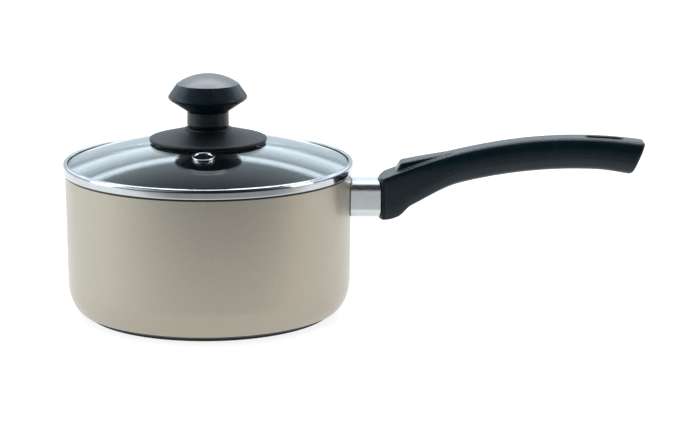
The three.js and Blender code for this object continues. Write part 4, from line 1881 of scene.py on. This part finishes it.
@dataclass
class Studio:
    """Plain pale floor, soft light and the camera, in metres."""

    camera_place: Spot = (0.0904, -1.5, 0.3993)
    camera_pitch: float = 12.65
    camera_roll: float = 0.18
    lens: float = 123.3257
    sensor: float = 36.0
    floor_size: float = 12.0
    floor_drop: float = 0.0001
    floor_glow: float = 0.86
    floor_dim: float = 0.1
    floor_fade: Point = (-0.46, -0.16)
    # The dim side of the studio is behind the camera, and its light grows along this direction.
    dim_side: Spot = (-0.29, 0.957, 0.0)
    side_levels: Point = (0.02, 1.0)
    side_fade: Point = (-0.9, 0.25)
    # Brightness of the studio wall by height: a lit backdrop, a bright strip and a dim ceiling.
    wall_levels: tuple[Point, ...] = (
        (0.0, 0.8),
        (0.24, 0.9),
        (0.30, 2.3),
        (0.37, 1.9),
        (0.44, 1.4),
        (0.475, 1.1),
        (0.49, 3.2),
        (0.52, 3.2),
        (0.55, 0.8),
        (0.78, 0.22),
    )
    softboxes: tuple[Softbox, ...] = (
        Softbox("overhead", (0.1, -0.1, 1.8), (0.1, -0.1, 0.0), (1.6, 0.8), 6.0, "ffffff"),
        Softbox("back_softbox", (0.1, 0.78, 1.7), (0.05, 0.0, 0.1), (2.4, 0.55), 32.0, "f2f8ff"),
        Softbox("left_panel", (-1.5, -0.1, 0.6), (0.0, 0.0, 0.06), (0.7, 1.2), 5.8, "f6faff"),
        Softbox("right_panel", (1.7, -0.3, 0.6), (0.0, 0.0, 0.06), (0.7, 1.2), 5.0, "ffe9d9"),
    )

    def camera(self) -> None:
        """Create the camera and make it the scene's."""
        data = bpy.data.cameras.new("studio_camera")
        data.sensor_width = self.sensor
        data.lens = self.lens
        data.clip_start, data.clip_end = 0.05, 60.0
        camera = bpy.data.objects.new("studio_camera", data)
        pitch, roll = math.radians(self.camera_pitch), math.radians(self.camera_roll)
        tilt = Matrix.Rotation(math.pi / 2 - pitch, 4, "X")
        camera.matrix_world = Matrix.Translation(self.camera_place) @ tilt @ Matrix.Rotation(roll, 4, "Z")
        bpy.context.scene.collection.objects.link(camera)
        bpy.context.scene.camera = camera

    def fade(
        self,
        tree: bpy.types.NodeTree,
        place: bpy.types.NodeSocket,
        span: Point,
        levels: Point,
    ) -> bpy.types.NodeSocket:
        """Brightness that grows away from the dim side.

        Args:
            tree: Tree to add to.
            place: Socket with the point or direction.
            span: Distances along the dim side's direction between which it grows.
            levels: Brightness at either end.

        Returns:
            Socket with the brightness.
        """
        dot = {"operation": "DOT_PRODUCT", 1: self.dim_side}
        away = add_node(tree, "ShaderNodeVectorMath", dot, {0: place}).outputs["Value"]
        ends = {
            "interpolation_type": "SMOOTHSTEP",
            "From Min": span[0],
            "From Max": span[1],
            "To Min": levels[0],
            "To Max": levels[1],
        }
        return add_node(tree, "ShaderNodeMapRange", ends, {"Value": away}).outputs[0]

    def floor(self) -> None:
        """Pale matt light table just under the base."""
        half, z = self.floor_size / 2, -self.floor_drop
        mesh = bpy.data.meshes.new("floor")
        corners = [(-half, -half, z), (half, -half, z), (half, half, z), (-half, half, z)]
        mesh.from_pydata(corners, [], [(0, 1, 2, 3)])
        floor = placed("floor", mesh)
        tree = FinishTree("pale_light_table", {"Roughness": 0.7, "Emission Color": linear("ffffff")})
        tree.tint(tree.noise(900.0), "8e8e8e", "929292")
        # The table's lamps end in front of the pan, which leaves the middle of its wall darker.
        fade = self.fade(tree.tree, tree.place, self.floor_fade, (self.floor_dim, self.floor_glow))
        # The eye sees the table plain; only what the saucepan mirrors fades.
        plain = tree.add(
            "ShaderNodeMix",
            {"data_type": "FLOAT", 3: self.floor_glow},
            {0: tree.add("ShaderNodeLightPath").outputs["Is Camera Ray"], 2: fade},
        )
        tree.tree.links.new(plain.outputs[0], tree.shader.inputs["Emission Strength"])
        mesh.materials.append(tree.material)

    def surroundings(self) -> None:
        """White studio all round, dimmer on the camera's side and plain to the eye."""
        world = bpy.data.worlds.new("studio")
        bpy.context.scene.world = world
        world.use_nodes = True
        tree = world.node_tree
        tree.nodes.clear()
        direction = add_node(tree, "ShaderNodeTexCoord").outputs["Generated"]
        split = add_node(tree, "ShaderNodeSeparateXYZ", links={0: direction})
        side = self.fade(tree, direction, self.side_fade, self.side_levels)
        level = add_node(tree, "ShaderNodeValToRGB", links={"Fac": split.outputs["Z"]})
        ramp = level.color_ramp
        for height, _ in self.wall_levels[2:]:
            ramp.elements.new(height)
        for element, (height, glow) in zip(ramp.elements, self.wall_levels):
            element.position = height
            element.color = (glow, glow, glow, 1.0)
        power = add_node(tree, "ShaderNodeMath", {"operation": "MULTIPLY"}, {0: side, 1: level.outputs[0]})
        wall = add_node(
            tree,
            "ShaderNodeBackground",
            {"Color": linear("e6f4ff")},
            {"Strength": power.outputs[0]},
        )
        backdrop = add_node(tree, "ShaderNodeBackground", {"Color": linear("fafcfd")})
        eye = add_node(tree, "ShaderNodeLightPath").outputs["Is Camera Ray"]
        views = {0: eye, 1: wall.outputs[0], 2: backdrop.outputs[0]}
        seen = add_node(tree, "ShaderNodeMixShader", links=views)
        add_node(tree, "ShaderNodeOutputWorld", links={"Surface": seen.outputs[0]})

    def build(self) -> None:
        """Set up the camera, the floor and the light."""
        self.camera()
        self.floor()
        self.surroundings()
        for softbox in self.softboxes:
            softbox.build()
        bpy.context.scene.view_settings.view_transform = "Standard"


def main() -> None:
    """Build the saucepan piece by piece around its frame."""
    logging.basicConfig(level=logging.INFO, format="%(name)s: %(message)s")
    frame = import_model()
    Studio().build()
    finishes = Finishes()
    helix, beads = helix_tree(), bead_tree()
    pan = Pan()
    pan.build(finishes)
    Handle(pan).build(frame, finishes, helix, beads)
    Lid(pan).build(frame, finishes, helix)
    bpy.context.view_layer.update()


if __name__ == "__main__":
    main()
